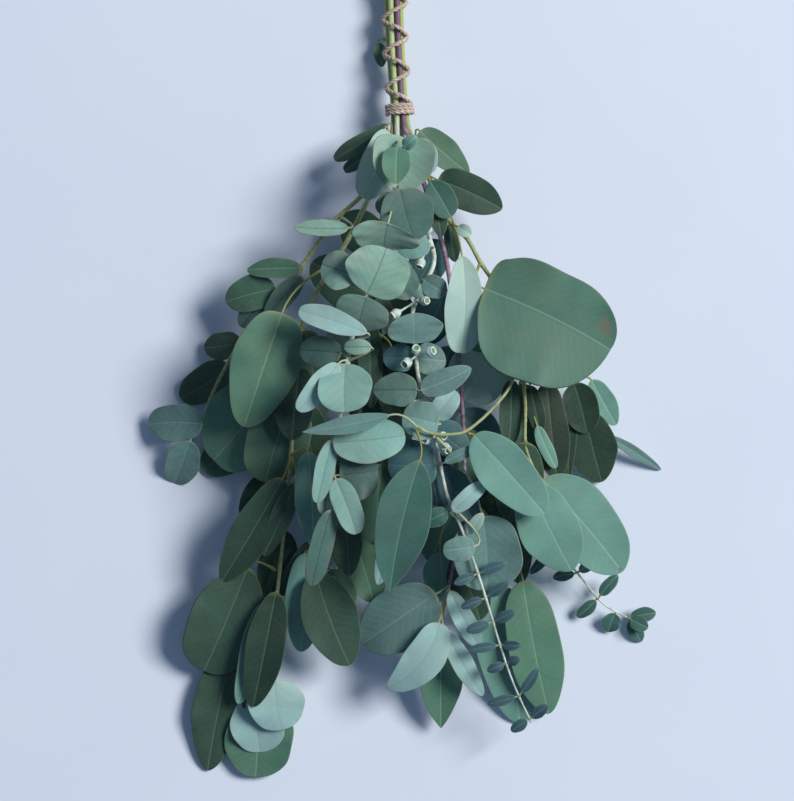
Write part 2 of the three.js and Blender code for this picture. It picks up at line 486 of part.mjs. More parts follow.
// One leaf, from the foot of its stalk on the stem to the tip of its blade
function leafSolid(root, blade, shape, lift) {
  const foot = place(blade.foot).add(new THREE.Vector3(0, 0, lift));
  const tip = place(blade.tip).add(new THREE.Vector3(0, 0, lift));
  const along = tip.clone().sub(foot);
  const left = UP.clone().cross(along).normalize();
  const arch = blade.arch ?? 2;
  const onBlade = (s) => foot.clone().addScaledVector(along, s).addScaledVector(UP, arch * 4 * s * (1 - s));
  const start = onBlade(0.02).sub(foot).normalize();
  const reach = foot.distanceTo(root);
  const bend = foot.clone().addScaledVector(start, -reach * 0.45);
  const stalk = new THREE.QuadraticBezierCurve3(root, bend, foot);
  const stations = [0, 0.5].map((t) => ({ at: stalk.getPoint(t), s: 0, stalk: true }));
  const cuts = [NARROW_CUTS, SLIM_CUTS, BROAD_CUTS][(blade.wide > 10) + (blade.wide > 20)];
  cuts.forEach((s) => stations.push({ at: onBlade(s), s, stalk: false }));
  const rings = stations.map((station, i) => {
    const before = stations[Math.max(i - 1, 0)].at;
    const after = stations[Math.min(i + 1, stations.length - 1)].at;
    const forward = after.clone().sub(before).normalize();
    const roll = THREE.MathUtils.degToRad(blade.roll ?? 0);
    const side = left.clone().addScaledVector(forward, -left.dot(forward)).normalize();
    side.applyAxisAngle(forward, roll);
    const face = forward.clone().cross(side);
    const grown = station.stalk ? 0 : outline(shape, station.s) * (blade.wide / 2);
    const half = Math.max(grown, STALK_HALF_WIDTH);
    const thick = grown > STALK_HALF_WIDTH * 2 ? LEAF_THICKNESS : STALK_THICKNESS;
    const rise = (v) => (blade.cup ?? 0.06) * grown * v * v + (blade.fold ?? 0) * grown * Math.abs(v);
    const point = (v, up) => {
      const p = station.at.clone().addScaledVector(side, v * half);
      p.addScaledVector(face, rise(v) + (up * thick) / 2);
      p.z = Math.max(p.z, ((up + 1) * thick) / 2);
      return p;
    };
    return [point(1, 0), point(0, 1), point(-1, 0), point(0, -1)];
  });
  return loft(rings);
}

// What is already in its place, for the next piece to lie clear of
const settled = [];

function nearest(solid, node) {
  const box = solid.boundingBox();
  return settled.find((other) => {
    if (other.node === node) {
      return false;
    }
    const apart = [0, 1, 2].some(
      (i) => box.min[i] > other.box.max[i] + TOUCH_GAP || box.max[i] < other.box.min[i] - TOUCH_GAP);
    return !apart && other.solid.minGap(solid, TOUCH_GAP) < TOUCH_GAP * 0.6;
  });
}

function keep(node, solid, finish, lifts = []) {
  settled.push({ node, solid, finish, lifts, box: solid.boundingBox() });
}

function bud(at) {
  return solidOf(new THREE.IcosahedronGeometry(BUD_RADIUS, 0).translate(at.x, at.y, at.z));
}

// Each blade rises on its stalk until it lies clear of what is under it
function liftedLeaf(node, root, blade, shape) {
  for (let lift = 0; lift <= MOST_LIFT; lift += LIFT_STEP) {
    const solid = leafSolid(root, blade, shape, lift);
    if (!nearest(solid, node)) {
      return { solid, lift };
    }
  }
  const solid = leafSolid(root, blade, shape, 0);
  throw new Error(`${node} finds no clear height; it meets ${nearest(solid, node).node}`);
}

function stemFoot(stem, at, blades) {
  const t = stem.nearest(at);
  const middle = stem.curve.getPointAt(t);
  const tangent = stem.curve.getTangentAt(t);
  const mean = blades.reduce((sum, b) => sum + b.foot[2], 0) / blades.length;
  const away = blades.length > 1
    ? new THREE.Vector3(0, 0, mean >= middle.z ? 1 : -1)
    : place(blades[0].foot).sub(middle);
  away.addScaledVector(tangent, -away.dot(tangent)).normalize();
  return middle.addScaledVector(away, stem.radius(t) + TOUCH_GAP + BUD_SEAT);
}

function addLeaf({ node, stem, at, shape, finish, blades }) {
  const root = stemFoot(stems[stem], place(at ?? blades[0].foot), blades);
  const leaves = blades.map((blade) => liftedLeaf(node, root, blade, shape));
  const solids = leaves.map((leaf) => leaf.solid);
  keep(node, joined([bud(root), ...solids]), finish, leaves.map((leaf) => leaf.lift));
}

// Leaves without a bud of their own, joined to the stem that they grew with
function addStemLeaves(node, blades) {
  const stem = stems[node];
  const piece = settled.find((other) => other.node === node);
  const leaves = blades.map((blade) => {
    const root = stem.curve.getPointAt(stem.nearest(place(blade.at ?? blade.foot)));
    return liftedLeaf(node, root, blade, OVAL);
  });
  piece.solid = joined([piece.solid, ...leaves.map((leaf) => leaf.solid)]);
  piece.box = piece.solid.boundingBox();
  piece.lifts = leaves.map((leaf) => leaf.lift);
}

function nutSolid(root, at) {
  const profile = [[0, 0], [1.3, 0], [NUT_RADIUS, 3.4], [2.6, NUT_LENGTH], [0, 5.6]];
  const cup = new THREE.LatheGeometry(profile.map(([r, y]) => new THREE.Vector2(r, y)), 7);
  const axis = at.clone().sub(root).normalize();
  cup.translate(0, -NUT_LENGTH / 2, 0);
  cup.applyQuaternion(new THREE.Quaternion().setFromUnitVectors(new THREE.Vector3(0, 1, 0), axis));
  cup.translate(at.x, at.y, at.z);
  const stalkEnd = at.clone().addScaledVector(axis, -NUT_LENGTH / 2 + 0.6);
  const stalk = new Stem([root, root.clone().lerp(stalkEnd, 0.5), stalkEnd], 0.8, 0.8, 2, 4);
  return [solidOf(cup), stalk.solid()];
}

function addNuts(node, { foot, nuts }) {
  const stem = stems.baby_blue_stem;
  const t = stem.nearest(place(foot));
  const tangent = stem.curve.getTangentAt(t);
  const away = UP.clone().addScaledVector(tangent, -UP.dot(tangent)).normalize();
  const root = stem.curve.getPointAt(t).addScaledVector(away, stem.radius(t) + TOUCH_GAP + BUD_SEAT);
  keep(node, joined([bud(root), ...nuts.flatMap((nut) => nutSolid(root, place(nut)))]), 'gum_nut');
}

function addSprig(node, { start, path, leaves, finish }) {
  const twig = new Stem([...start, ...path.map(place)], TWIG_RADIUS, TWIG_RADIUS * 0.6, 10, 4);
  const blades = leaves.flatMap(({ foot, tips, wide }) => tips.map((tip) => {
    const root = twig.curve.getPointAt(twig.nearest(place(foot)));
    const neck = foot.map((value, i) => THREE.MathUtils.lerp(value, tip[i], 0.12));
    return leafSolid(root, { foot: neck, tip, wide, arch: 1 }, OVAL, 0);
  }));
  keep(node, joined([twig.solid(), ...blades]), finish);
}

// Jute twine: two crossing coils up the bundle and a band of close turns below them
function coil(fromShare, toShare, turns, phase) {
  const axis = new THREE.CatmullRomCurve3([CUT_END, LACING_MIDDLE, BAND].map(place));
  const count = Math.round(Math.abs(turns) * TWINE_STEPS);
  const points = [];
  for (let i = 0; i <= count; i += 1) {
    const angle = phase + (2 * Math.PI * turns * i) / count;
    const middle = axis.getPointAt(THREE.MathUtils.lerp(fromShare, toShare, i / count));
    const out = new THREE.Vector3(Math.cos(angle), 0, Math.sin(angle));
    points.push(middle.addScaledVector(out, TWINE_COIL_RADIUS));
  }
  return new Stem(points, TWINE_RADIUS, TWINE_RADIUS, count, 4).solid();
}

function addTwine() {
  const lacing = [coil(0.1, 0.95, 4, 0.4), coil(0.1, 0.95, -4, 5.7)];
  const band = coil(0.935, 0.99, 2.5, 0.4);
  keep('jute_twine', joined([...lacing, band]), 'jute_twine');
}

const STEM_FINISHES = {
  cinerea_stem: 'white_stem',
  baby_blue_stem: 'white_stem',
  purple_stem: 'purple_stem',
};

Object.entries(stems).forEach(([node, stem]) => {
  keep(node, stem.solid(), STEM_FINISHES[node] ?? 'olive_stem');
});
addTwine();
Object.entries(SPRIGS).forEach(([node, sprig]) => addSprig(node, sprig));
Object.entries(NUT_CLUSTERS).forEach(([node, cluster]) => addNuts(node, cluster));
Object.entries(STEM_LEAVES).forEach(([node, blades]) => addStemLeaves(node, blades));
LEAVES.forEach(addLeaf);

const bunch = new THREE.Group();
settled.forEach(({ node, solid, finish, lifts }) => {
  const material = new THREE.MeshStandardMaterial({ ...FINISHES[finish], metalness: 0 });
  const mesh = new THREE.Mesh(geometryOf(solid), material);
  mesh.name = node;
  mesh.userData.lifts = lifts;
  bunch.add(mesh);
});

export default bunch;
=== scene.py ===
"""A tied bunch of mixed eucalyptus with gum nuts, lying on its back.

Shapes are worked out in millimetres, with +Z up and +Y along the bunch towards the cut stem ends,
and become metres when a mesh is made.
"""
import logging
import math
from dataclasses import dataclass, field
from enum import Enum
from typing import Any, Sequence

import bpy
import numpy as np
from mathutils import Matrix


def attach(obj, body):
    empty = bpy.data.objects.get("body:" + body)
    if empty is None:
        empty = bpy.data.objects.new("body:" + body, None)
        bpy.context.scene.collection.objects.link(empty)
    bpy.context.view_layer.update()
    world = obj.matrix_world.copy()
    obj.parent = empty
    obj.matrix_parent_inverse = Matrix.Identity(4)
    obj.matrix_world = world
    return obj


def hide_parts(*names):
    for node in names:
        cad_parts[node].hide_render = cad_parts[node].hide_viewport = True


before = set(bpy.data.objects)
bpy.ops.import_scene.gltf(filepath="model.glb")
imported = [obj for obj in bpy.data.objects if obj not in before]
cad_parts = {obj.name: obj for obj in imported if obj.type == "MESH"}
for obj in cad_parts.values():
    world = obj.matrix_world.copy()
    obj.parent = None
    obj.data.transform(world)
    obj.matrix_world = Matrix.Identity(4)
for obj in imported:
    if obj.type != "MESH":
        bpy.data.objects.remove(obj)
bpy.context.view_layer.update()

LOG = logging.getLogger("eucalyptus_bunch")
Spot = tuple[float, float, float]
Pair = tuple[float, float]

# Metres in a millimetre, and the way up
MM = 0.001
UP = np.array((0.0, 0.0, 1.0))

# Driving sizes in millimetres
TOUCH_GAP = 0.3
BUD_SEAT = 1.08
STALK_RADIUS = 0.65
STALK_BASE_RADIUS = 1.1
TIP_HALF_WIDTH = 0.12
LEAF_THICKNESS = 0.5
TIP_REACH = 1.1
STEM_RADIUS = 2.1
STEM_END_RADIUS = 1.1
TWIG_RADIUS = 1.0
TWIG_START = 4.0
RING_OF_SIX = 2 * STEM_RADIUS + TOUCH_GAP
BUNDLE_RADIUS = RING_OF_SIX + STEM_RADIUS
TWINE_RADIUS = 1.4
NUT_LENGTH = 7.0


def linear(code: str) -> tuple[float, ...]:
    """Turn an sRGB hex colour into linear red, green, blue and alpha."""
    channels = [int(code[i:i + 2], 16) / 255 for i in (1, 3, 5)]
    return (*(c / 12.92 if c <= 0.04045 else ((c + 0.055) / 1.055) ** 2.4 for c in channels), 1.0)


def unit(vectors: np.ndarray) -> np.ndarray:
    """Scale a vector, or each row of vectors, to a length of one."""
    return vectors / np.linalg.norm(vectors, axis=-1, keepdims=True)


def smooth_step(low: float, high: float, value: np.ndarray) -> np.ndarray:
    """Ease from 0 at low to 1 at high."""
    share = np.clip((value - low) / (high - low), 0.0, 1.0)
    return share * share * (3 - 2 * share)


def add_node(
    tree: bpy.types.NodeTree,
    kind: str,
    settings: dict[str, Any] | None = None,
    inputs: dict[Any, Any] | None = None,
) -> bpy.types.Node:
    """Add one node with its settings and what goes into it.

    Args:
        tree: Tree that takes the node.
        kind: Blender's name for the kind of node.
        settings: Properties of the node by name.
        inputs: By socket index, identifier or name, a plain value, a hex colour, a socket, a node
            whose first output is meant, or a list of these for a socket that takes several.

    Returns:
        The new node.
    """
    node = tree.nodes.new(kind)
    for name, value in (settings or {}).items():
        setattr(node, name, value)
    for key, value in (inputs or {}).items():
        if isinstance(key, int):
            socket = node.inputs[key]
        else:
            socket = next(s for s in node.inputs if s.enabled and key in (s.identifier, s.name))
        for source in value if isinstance(value, list) else [value]:
            if isinstance(source, bpy.types.Node):
                source = next(s for s in source.outputs if s.enabled)
            if isinstance(source, bpy.types.NodeSocket):
                tree.links.new(source, socket)
            elif isinstance(source, str) and source.startswith("#"):
                socket.default_value = linear(source)
            else:
                socket.default_value = source
    return node


@dataclass(frozen=True)
class PhotoView:
    """How a photo pixel and a height above the surface become a place on the bunch.

    Sizes are millimetres, pixels are in the 794 x 801 photo.
    """

    mm_per_pixel: float = 0.7
    height: float = 2000.0
    image_rows: float = 801.0
    middle: Pair = (406.0, 367.0)
    centre: Pair = (397.0, 400.5)

    @property
    def camera_spot(self) -> np.ndarray:
        """Place of the camera, straight above the photo's centre."""
        return np.array((
            (self.centre[0] - self.middle[0]) * self.mm_per_pixel,
            (self.middle[1] - self.centre[1]) * self.mm_per_pixel,
            self.height,
        ))

    def place(self, spot: Spot) -> np.ndarray:
        """Give the place that a camera above the bunch sees at a pixel.

        Args:
            spot: Pixel column, pixel row and height above the surface in millimetres.

        Returns:
            The place in millimetres.
        """
        column, row, height = spot
        scale = self.mm_per_pixel * (self.height - height) / self.height
        camera = self.camera_spot
        return np.array((
            camera[0] + (column - self.centre[0]) * scale,
            camera[1] - (row - self.centre[1]) * scale,
            height,
        ))


VIEW = PhotoView()


class Path:
    """A smooth curve through given points, walked by its length."""

    def __init__(self, points: Sequence[np.ndarray], cuts: int = 24) -> None:
        """Lay a centripetal Catmull-Rom curve.

        Args:
            points: Points that the curve goes through, in millimetres.
            cuts: Steps between two points.
        """
        given = np.array(points)
        ends = (2 * given[0] - given[1], 2 * given[-1] - given[-2])
        knots = np.vstack((ends[0], given, ends[1]))
        gaps = np.sqrt(np.linalg.norm(np.diff(knots, axis=0), axis=1))
        laid = [given[:1]]
        share = (np.arange(1, cuts + 1) / cuts)[:, None]
        for i in range(1, len(knots) - 2):
            before, start, end, after = knots[i - 1:i + 3]
            g0, g1, g2 = gaps[i - 1:i + 2]
            leave = ((start - before) / g0 - (end - before) / (g0 + g1) + (end - start) / g1) * g1
            arrive = ((end - start) / g1 - (after - start) / (g1 + g2) + (after - end) / g2) * g1
            square = 3 * (end - start) - 2 * leave - arrive
            cube = 2 * (start - end) + leave + arrive
            laid.append(start + share * leave + share ** 2 * square + share ** 3 * cube)
        self.points = np.vstack(laid)
        steps = np.linalg.norm(np.diff(self.points, axis=0), axis=1)
        self.walked = np.concatenate(((0.0,), np.cumsum(steps)))
        self.length = self.walked[-1]

    def at(self, share: float | np.ndarray) -> np.ndarray:
        """Give the point, or row of points, at a share of the length."""
        walked = np.asarray(share) * self.length
        return np.stack([np.interp(walked, self.walked, self.points[:, i]) for i in range(3)], axis=-1)

    def tangent(self, share: float) -> np.ndarray:
        """Give the direction at a share of the length."""
        step = 0.002
        return unit(self.at(min(share + step, 1.0)) - self.at(max(share - step, 0.0)))

    def nearest(self, point: np.ndarray) -> float:
        """Give the share of the length that lies nearest a point."""
        gaps = np.linalg.norm(self.points - point, axis=1)
        return self.walked[int(np.argmin(gaps))] / self.length

    def off_axis(self, share: float, direction: np.ndarray) -> np.ndarray:
        """Turn a direction square to the curve at a share of its length."""
        tangent = self.tangent(share)
        return unit(direction - direction.dot(tangent) * tangent)


@dataclass
class Patch:
    """One closed skin of a piece, with the values that its finish reads at each point.

    blade is how far the point lies across, along and in from the rim in millimetres, growth is its
    upper side, its leaf's tint and its share of the length, and blemish is how scarred it is.
    """

    points: np.ndarray
    faces: list[tuple[int, ...]]
    finish: "LeafFinish"
    blade: np.ndarray
    growth: np.ndarray
    blemish: np.ndarray


def ring_faces(rows: int, around: int) -> list[tuple[int, ...]]:
    """List the faces of a closed loft of rows of points, with both ends closed.

    Args:
        rows: Number of rings.
        around: Points in each ring.

    Returns:
        Tuples of point numbers, turned outwards.
    """
    first = (np.arange(rows - 1)[:, None] * around + np.arange(around)).ravel()
    beside = (np.arange(rows - 1)[:, None] * around + (np.arange(around) + 1) % around).ravel()
    faces = [tuple(q) for q in np.stack((first, beside, beside + around, first + around), 1).tolist()]
    faces.append(tuple(range(around - 1, -1, -1)))
    faces.append(tuple(range((rows - 1) * around, rows * around)))
    return faces


def store(mesh: bpy.types.Mesh, name: str, values: np.ndarray, kind: str = "FLOAT") -> None:
    """Keep a value for each point of a mesh.

    Args:
        mesh: Mesh that takes the values.
        name: Name that node trees read them by.
        values: One number or one row of three numbers for each point.
        kind: Blender's name for the type of value.
    """
    data = mesh.attributes.new(name, kind, "POINT").data
    data.foreach_set("vector" if kind == "FLOAT_VECTOR" else "value", np.ravel(values))


def add_piece(name: str, mesh: bpy.types.Mesh, replaces: bool = True) -> bpy.types.Object:
    """Make a finished mesh a piece of the bunch.

    Args:
        name: Name of the piece, and of the solid that it stands for.
        mesh: The mesh, in metres and in its place.
        replaces: Whether a solid of that name stands behind it.

    Returns:
        The new object.
    """
    mesh.name = name
    mesh.polygons.foreach_set("use_smooth", np.ones(len(mesh.polygons), dtype=bool))
    piece = bpy.data.objects.new(name + "_piece", mesh)
    bpy.context.collection.objects.link(piece)
    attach(piece, "root")
    if replaces:
        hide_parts(name)
    LOG.info("%s: %d faces", piece.name, len(mesh.polygons))
    return piece


def add_patches(name: str, patches: Sequence[Patch], replaces: bool = True) -> bpy.types.Object:
    """Join patches into one piece.

    Args:
        name: Name of the piece, and of the solid that it stands for.
        patches: Its skins.
        replaces: Whether a solid of that name stands behind it.

    Returns:
        The new object.
    """
    finishes = list(dict.fromkeys(patch.finish for patch in patches))
    faces: list[tuple[int, ...]] = []
    marks: list[int] = []
    start = 0
    for patch in patches:
        faces += [tuple(start + corner for corner in face) for face in patch.faces]
        marks += [finishes.index(patch.finish)] * len(patch.faces)
        start += len(patch.points)
    mesh = bpy.data.meshes.new(name)
    mesh.from_pydata((np.vstack([patch.points for patch in patches]) * MM).tolist(), [], faces)
    store(mesh, "blade", np.vstack([patch.blade for patch in patches]), "FLOAT_VECTOR")
    store(mesh, "growth", np.vstack([patch.growth for patch in patches]), "FLOAT_VECTOR")
    store(mesh, "blemish", np.concatenate([patch.blemish for patch in patches]))
    for finish in finishes:
        mesh.materials.append(finish.material())
    mesh.polygons.foreach_set("material_index", marks)
    return add_piece(name, mesh, replaces)


@dataclass(frozen=True)
class Coat:
    """A coat of colour, laid on where a value goes from one edge to the other.

    strength says how strong it is before the first edge and after the second, and within is a value
    that holds it back where it is low.
    """

    colour: str
    value: Any
    edges: Pair = (0.0, 1.0)
    strength: Pair = (0.0, 1.0)
    soft: bool = False
    within: Any = None


def lay_coats(tree: bpy.types.NodeTree, colour: str, coats: Sequence[Coat]) -> bpy.types.Node:
    """Lay coats over each other.

    Args:
        tree: Tree of the material.
        colour: Ground colour.
        coats: Coats from the lowest to the highest.

    Returns:
        The node that gives the colour.
    """
    for coat in coats:
        share = add_node(tree, "ShaderNodeMapRange", {
            "interpolation_type": "SMOOTHSTEP" if coat.soft else "LINEAR"}, {
            "Value": coat.value, "From Min": coat.edges[0], "From Max": coat.edges[1],
            "To Min": coat.strength[0], "To Max": coat.strength[1]})
        if coat.within is not None:
            share = add_node(tree, "ShaderNodeMath", {"operation": "MULTIPLY"}, {0: share, 1: coat.within})
        colour = add_node(tree, "ShaderNodeMix", {"data_type": "RGBA"}, {
            "Factor": share, "A": colour, "B": coat.colour})
    return colour


def close_material(
    material: bpy.types.Material, height: Any, relief: Pair, **shading: Any,
) -> bpy.types.Material:
    """End a material in its relief and its shader.

    Args:
        material: The material.
        height: Node that gives the relief's height.
        relief: The relief's depth in millimetres and its strength.
        **shading: What goes into the shader, with underscores for spaces.

    Returns:
        The material.
    """
    tree = material.node_tree
    bump = add_node(tree, "ShaderNodeBump", inputs={
        "Height": height, "Distance": relief[0] * MM, "Strength": relief[1]})
    inputs = {name.replace("_", " "): value for name, value in shading.items()}
    shader = add_node(tree, "ShaderNodeBsdfPrincipled", inputs={**inputs, "Normal": bump})
    add_node(tree, "ShaderNodeOutputMaterial", inputs={"Surface": shader})
    return material


class Finish:
    """A finish whose material is made once and then shared."""

    name: str

    def material(self) -> bpy.types.Material:
        """Give the finish's material, made on first use."""
        return bpy.data.materials.get(self.name) or self.make()

    def make(self) -> bpy.types.Material:
        """Make the material."""
        raise NotImplementedError

    def start(self, *grains: Pair) -> tuple[bpy.types.Material, list[bpy.types.Node]]:
        """Start the material with its noises.

        Args:
            *grains: Size in millimetres and detail of each noise.

        Returns:
            The material and the noises.
        """
        material = bpy.data.materials.new(self.name)
        material.use_nodes = True
        tree = material.node_tree
        tree.nodes.clear()
        where = add_node(tree, "ShaderNodeTexCoord").outputs["Object"]
        return material, [
            add_node(tree, "ShaderNodeTexNoise", inputs={
                "Vector": where, "Scale": 1 / (size * MM), "Detail": detail})
            for size, detail in grains]


@dataclass(frozen=True)
class LeafFinish(Finish):
    """Waxy eucalyptus leaf.

    The wax bloom makes it matte and cloudy, with a blush in places. A thin midrib, fine side veins,
    a thin dry rim and small specks of oil glands break up the green, and the back is paler.
    """

    name: str
    slot: str
    face: str
    light: str
    back: str
    rib: str
    blush: str
    rim: str
    stalk: str = "#8d8f56"
    speck: str = "#cfdcd4"
    scar: str = "#6f6a58"
    sheen: str = "#dfeae6"
    speckle: float = 0.03
    blushed: float = 0.3
    scarred: float = 0.75
    vein_strength: float = 0.05
    rib_strength: float = 0.45
    rim_strength: float = 0.5
    roughness: float = 0.55
    roughness_drift: float = 0.12
    bloom: float = 0.08
    gloss: float = 0.35
    ior: float = 1.4
    vein_spacing: float = 6.0
    vein_slant: float = 0.8
    cloud_size: float = 14.0
    cloudiness: float = 1.2
    blush_size: float = 26.0
    grain_size: float = 1.1
    speck_size: float = 1.76
    scar_raggedness: float = 0.9
    vein_depth: float = 0.6
    relief: Pair = (0.2, 0.4)
    blush_edges: Pair = (0.42, 0.66)
    vein_edges: Pair = (0.01, 0.16)
    rib_edges: Pair = (0.15, 0.6)
    rim_edges: Pair = (0.1, 0.8)
    bare_rim: Pair = (0.0, 5.0)
    speck_edges: Pair = (0.1, 0.35)
    scar_edges: Pair = (0.8, 1.35)
    stalk_edges: Pair = (-0.05, 0.06)

    def make(self) -> bpy.types.Material:
        """Make the leaf's material from the values kept on each blade."""
        material, (clouds, flush, grain) = self.start(
            (self.cloud_size, 4.0), (self.blush_size, 3.0), (self.grain_size, 2.0))
        tree = material.node_tree
        blade, growth, blemish = (
            add_node(tree, "ShaderNodeAttribute", {"attribute_name": name}).outputs[kind]
            for name, kind in (("blade", "Vector"), ("growth", "Vector"), ("blemish", "Fac")))
        (across, along, margin), (upper, tint, share) = (
            add_node(tree, "ShaderNodeSeparateXYZ", inputs={0: values}).outputs
            for values in (blade, growth))
        where = add_node(tree, "ShaderNodeTexCoord").outputs["Object"]
        specks = add_node(tree, "ShaderNodeTexVoronoi", inputs={
            "Vector": where, "Scale": 1 / (self.speck_size * MM)})

        # Tone drifts from blade to blade and in clouds of wax across each one
        tone = add_node(tree, "ShaderNodeMath", {"operation": "MULTIPLY_ADD"}, {
            0: clouds, 1: self.cloudiness, 2: -self.cloudiness / 2})
        tone = add_node(tree, "ShaderNodeMath", {"operation": "ADD", "use_clamp": True}, {0: tone, 1: tint})

        # Side veins slant from the midrib to the rim and waver a little
        beside = add_node(tree, "ShaderNodeMath", {"operation": "ABSOLUTE"}, {0: across})
        slanted = add_node(tree, "ShaderNodeMath", {"operation": "MULTIPLY_ADD"}, {
            0: beside, 1: -self.vein_slant, 2: along})
        spaced = add_node(tree, "ShaderNodeMath", {"operation": "MULTIPLY_ADD"}, {
            0: slanted, 1: 1 / self.vein_spacing, 2: clouds})
        apart = add_node(tree, "ShaderNodeMath", {"operation": "PINGPONG"}, {0: spaced, 1: 0.5})
        lines, midrib, fade = (
            add_node(tree, "ShaderNodeMapRange", {"interpolation_type": course}, {
                "Value": value, "From Min": edges[0], "From Max": edges[1],
                "To Min": first, "To Max": last})
            for value, course, edges, first, last in (
                (apart, "SMOOTHSTEP", self.vein_edges, self.vein_strength, 0.0),
                (beside, "SMOOTHSTEP", self.rib_edges, self.rib_strength, 0.0),
                (margin, "LINEAR", self.bare_rim, 0.0, 1.0)))
        veins = add_node(tree, "ShaderNodeMath", {"operation": "MULTIPLY"}, {0: lines, 1: fade})
        marked = add_node(tree, "ShaderNodeMath", {"operation": "MAXIMUM"}, {0: veins, 1: midrib})

        ragged = add_node(tree, "ShaderNodeMath", {"operation": "MULTIPLY_ADD"}, {
            0: clouds, 1: self.scar_raggedness, 2: blemish})
        colour = lay_coats(tree, self.face, (
            Coat(self.light, tone),
            Coat(self.blush, flush, self.blush_edges, (0.0, self.blushed), True),
            Coat(self.back, upper, strength=(1.0, 0.0)),
            Coat(self.rib, marked),
            Coat(self.rim, margin, self.rim_edges, (self.rim_strength, 0.0), True),
            Coat(self.speck, specks, self.speck_edges, (self.speckle, 0.0), True),
            Coat(self.scar, ragged, self.scar_edges, (0.0, self.scarred), True),
            Coat(self.stalk, share, self.stalk_edges, (1.0, 0.0), True)))
        height = add_node(tree, "ShaderNodeMath", {"operation": "MULTIPLY_ADD"}, {
            0: marked, 1: -self.vein_depth, 2: grain})
        rough = add_node(tree, "ShaderNodeMapRange", inputs={
            "Value": clouds, "To Min": self.roughness - self.roughness_drift,
            "To Max": self.roughness + self.roughness_drift})
        return close_material(
            material, height, self.relief, Base_Color=colour, Roughness=rough, IOR=self.ior,
            Sheen_Weight=self.bloom, Sheen_Tint=self.sheen, Specular_IOR_Level=self.gloss)


@dataclass(frozen=True)
class StemFinish(Finish):
    """Young eucalyptus bark.

    Smooth and dull, in long cloudy streaks, with a pale wax bloom in patches, older and brighter where
    a stem is tied, and pale wood where it was cut.
    """

    name: str
    slot: str
    skin: str
    shade: str
    bloom: str
    old: str
    waxed: float
    cut: str = "#c9c19a"
    aged: float = 0.75
    old_length: Pair = (112.0, 128.0)
    cut_depth: Pair = (0.19, 0.21)
    streak_size: float = 3.0
    streak_edges: Pair = (0.35, 0.65)
    patch_size: float = 7.0
    patch_edges: Pair = (0.4, 0.6)
    relief: Pair = (0.3, 0.5)
    roughness: float = 0.6
    ior: float = 1.45

    def make(self) -> bpy.types.Material:
        """Make the bark's material."""
        material, (streaks, patches) = self.start((self.streak_size, 3.0), (self.patch_size, 4.0))
        tree = material.node_tree
        along, tied = (
            add_node(tree, "ShaderNodeAttribute", {"attribute_name": name}).outputs["Fac"]
            for name in ("along", "tied"))
        colour = lay_coats(tree, self.shade, (
            Coat(self.skin, streaks, self.streak_edges),
            Coat(self.bloom, patches, self.patch_edges, (0.0, self.waxed), True),
            Coat(self.old, along, self.old_length, (self.aged, 0.0), True, tied),
            Coat(self.cut, along, self.cut_depth, (1.0, 0.0))))
        return close_material(
            material, streaks, self.relief, Base_Color=colour, Roughness=self.roughness, IOR=self.ior)


@dataclass(frozen=True)
class NutFinish(Finish):
    """Young gum nut: a woody cup under a thick whitish bloom, green where the bloom is rubbed off."""

    name: str = "bloomed_gum_nut"
    slot: str = "gum_nut"
    bloom: str = "#c3d4cd"
    rubbed: str = "#8fa58f"
    lip: str = "#dbe6e0"
    disc: str = "#6f8a5a"
    bleached: float = 0.9
    patch_size: float = 2.6
    patch_edges: Pair = (0.45, 0.7)
    lip_height: Pair = (0.86, 0.95)
    disc_radius: Pair = (0.55, 0.65)
    disc_height: float = 0.5
    relief: Pair = (0.25, 0.6)
    roughness: float = 0.7
    sheen: float = 0.2

    def make(self) -> bpy.types.Material:
        """Make the nut's material from its height and its radius."""
        material, (patches,) = self.start((self.patch_size, 4.0))
        tree = material.node_tree
        cup = add_node(tree, "ShaderNodeAttribute", {"attribute_name": "cup"}).outputs["Vector"]
        height, radius, _ = add_node(tree, "ShaderNodeSeparateXYZ", inputs={0: cup}).outputs
        top = add_node(tree, "ShaderNodeMath", {"operation": "GREATER_THAN"}, {
            0: height, 1: self.disc_height})
        colour = lay_coats(tree, self.bloom, (
            Coat(self.rubbed, patches, self.patch_edges, soft=True),
            Coat(self.lip, height, self.lip_height, (0.0, self.bleached)),
            Coat(self.disc, radius, self.disc_radius, (1.0, 0.0), within=top)))
        return close_material(
            material, patches, self.relief, Base_Color=colour, Roughness=self.roughness,
            Sheen_Weight=self.sheen)


@dataclass(frozen=True)
class TwineFinish(Finish):
    """Spun jute: dull pinkish straw in fine lengthwise fibres, some bleached and some brown."""

    name: str = "spun_jute_twine"
    slot: str = "jute_twine"
    straw: str = "#cdb5a6"
    brown: str = "#9a8070"
    bleached: str = "#e6d8cc"
    browned: float = 0.8
    paled: float = 0.7
    fibre_size: float = 0.5
    fibre_edges: Pair = (0.35, 0.6)
    patch_size: float = 4.0
    patch_edges: Pair = (0.5, 0.7)
    relief: Pair = (0.3, 0.8)
    roughness: float = 0.92
    sheen: float = 0.3

    def make(self) -> bpy.types.Material:
        """Make the twine's material."""
        material, (fibres, patches) = self.start((self.fibre_size, 2.0), (self.patch_size, 3.0))
        colour = lay_coats(material.node_tree, self.straw, (
            Coat(self.brown, fibres, self.fibre_edges, (self.browned, 0.0)),
            Coat(self.bleached, patches, self.patch_edges, (0.0, self.paled))))
        return close_material(
            material, fibres, self.relief, Base_Color=colour, Roughness=self.roughness,
            Sheen_Weight=self.sheen)


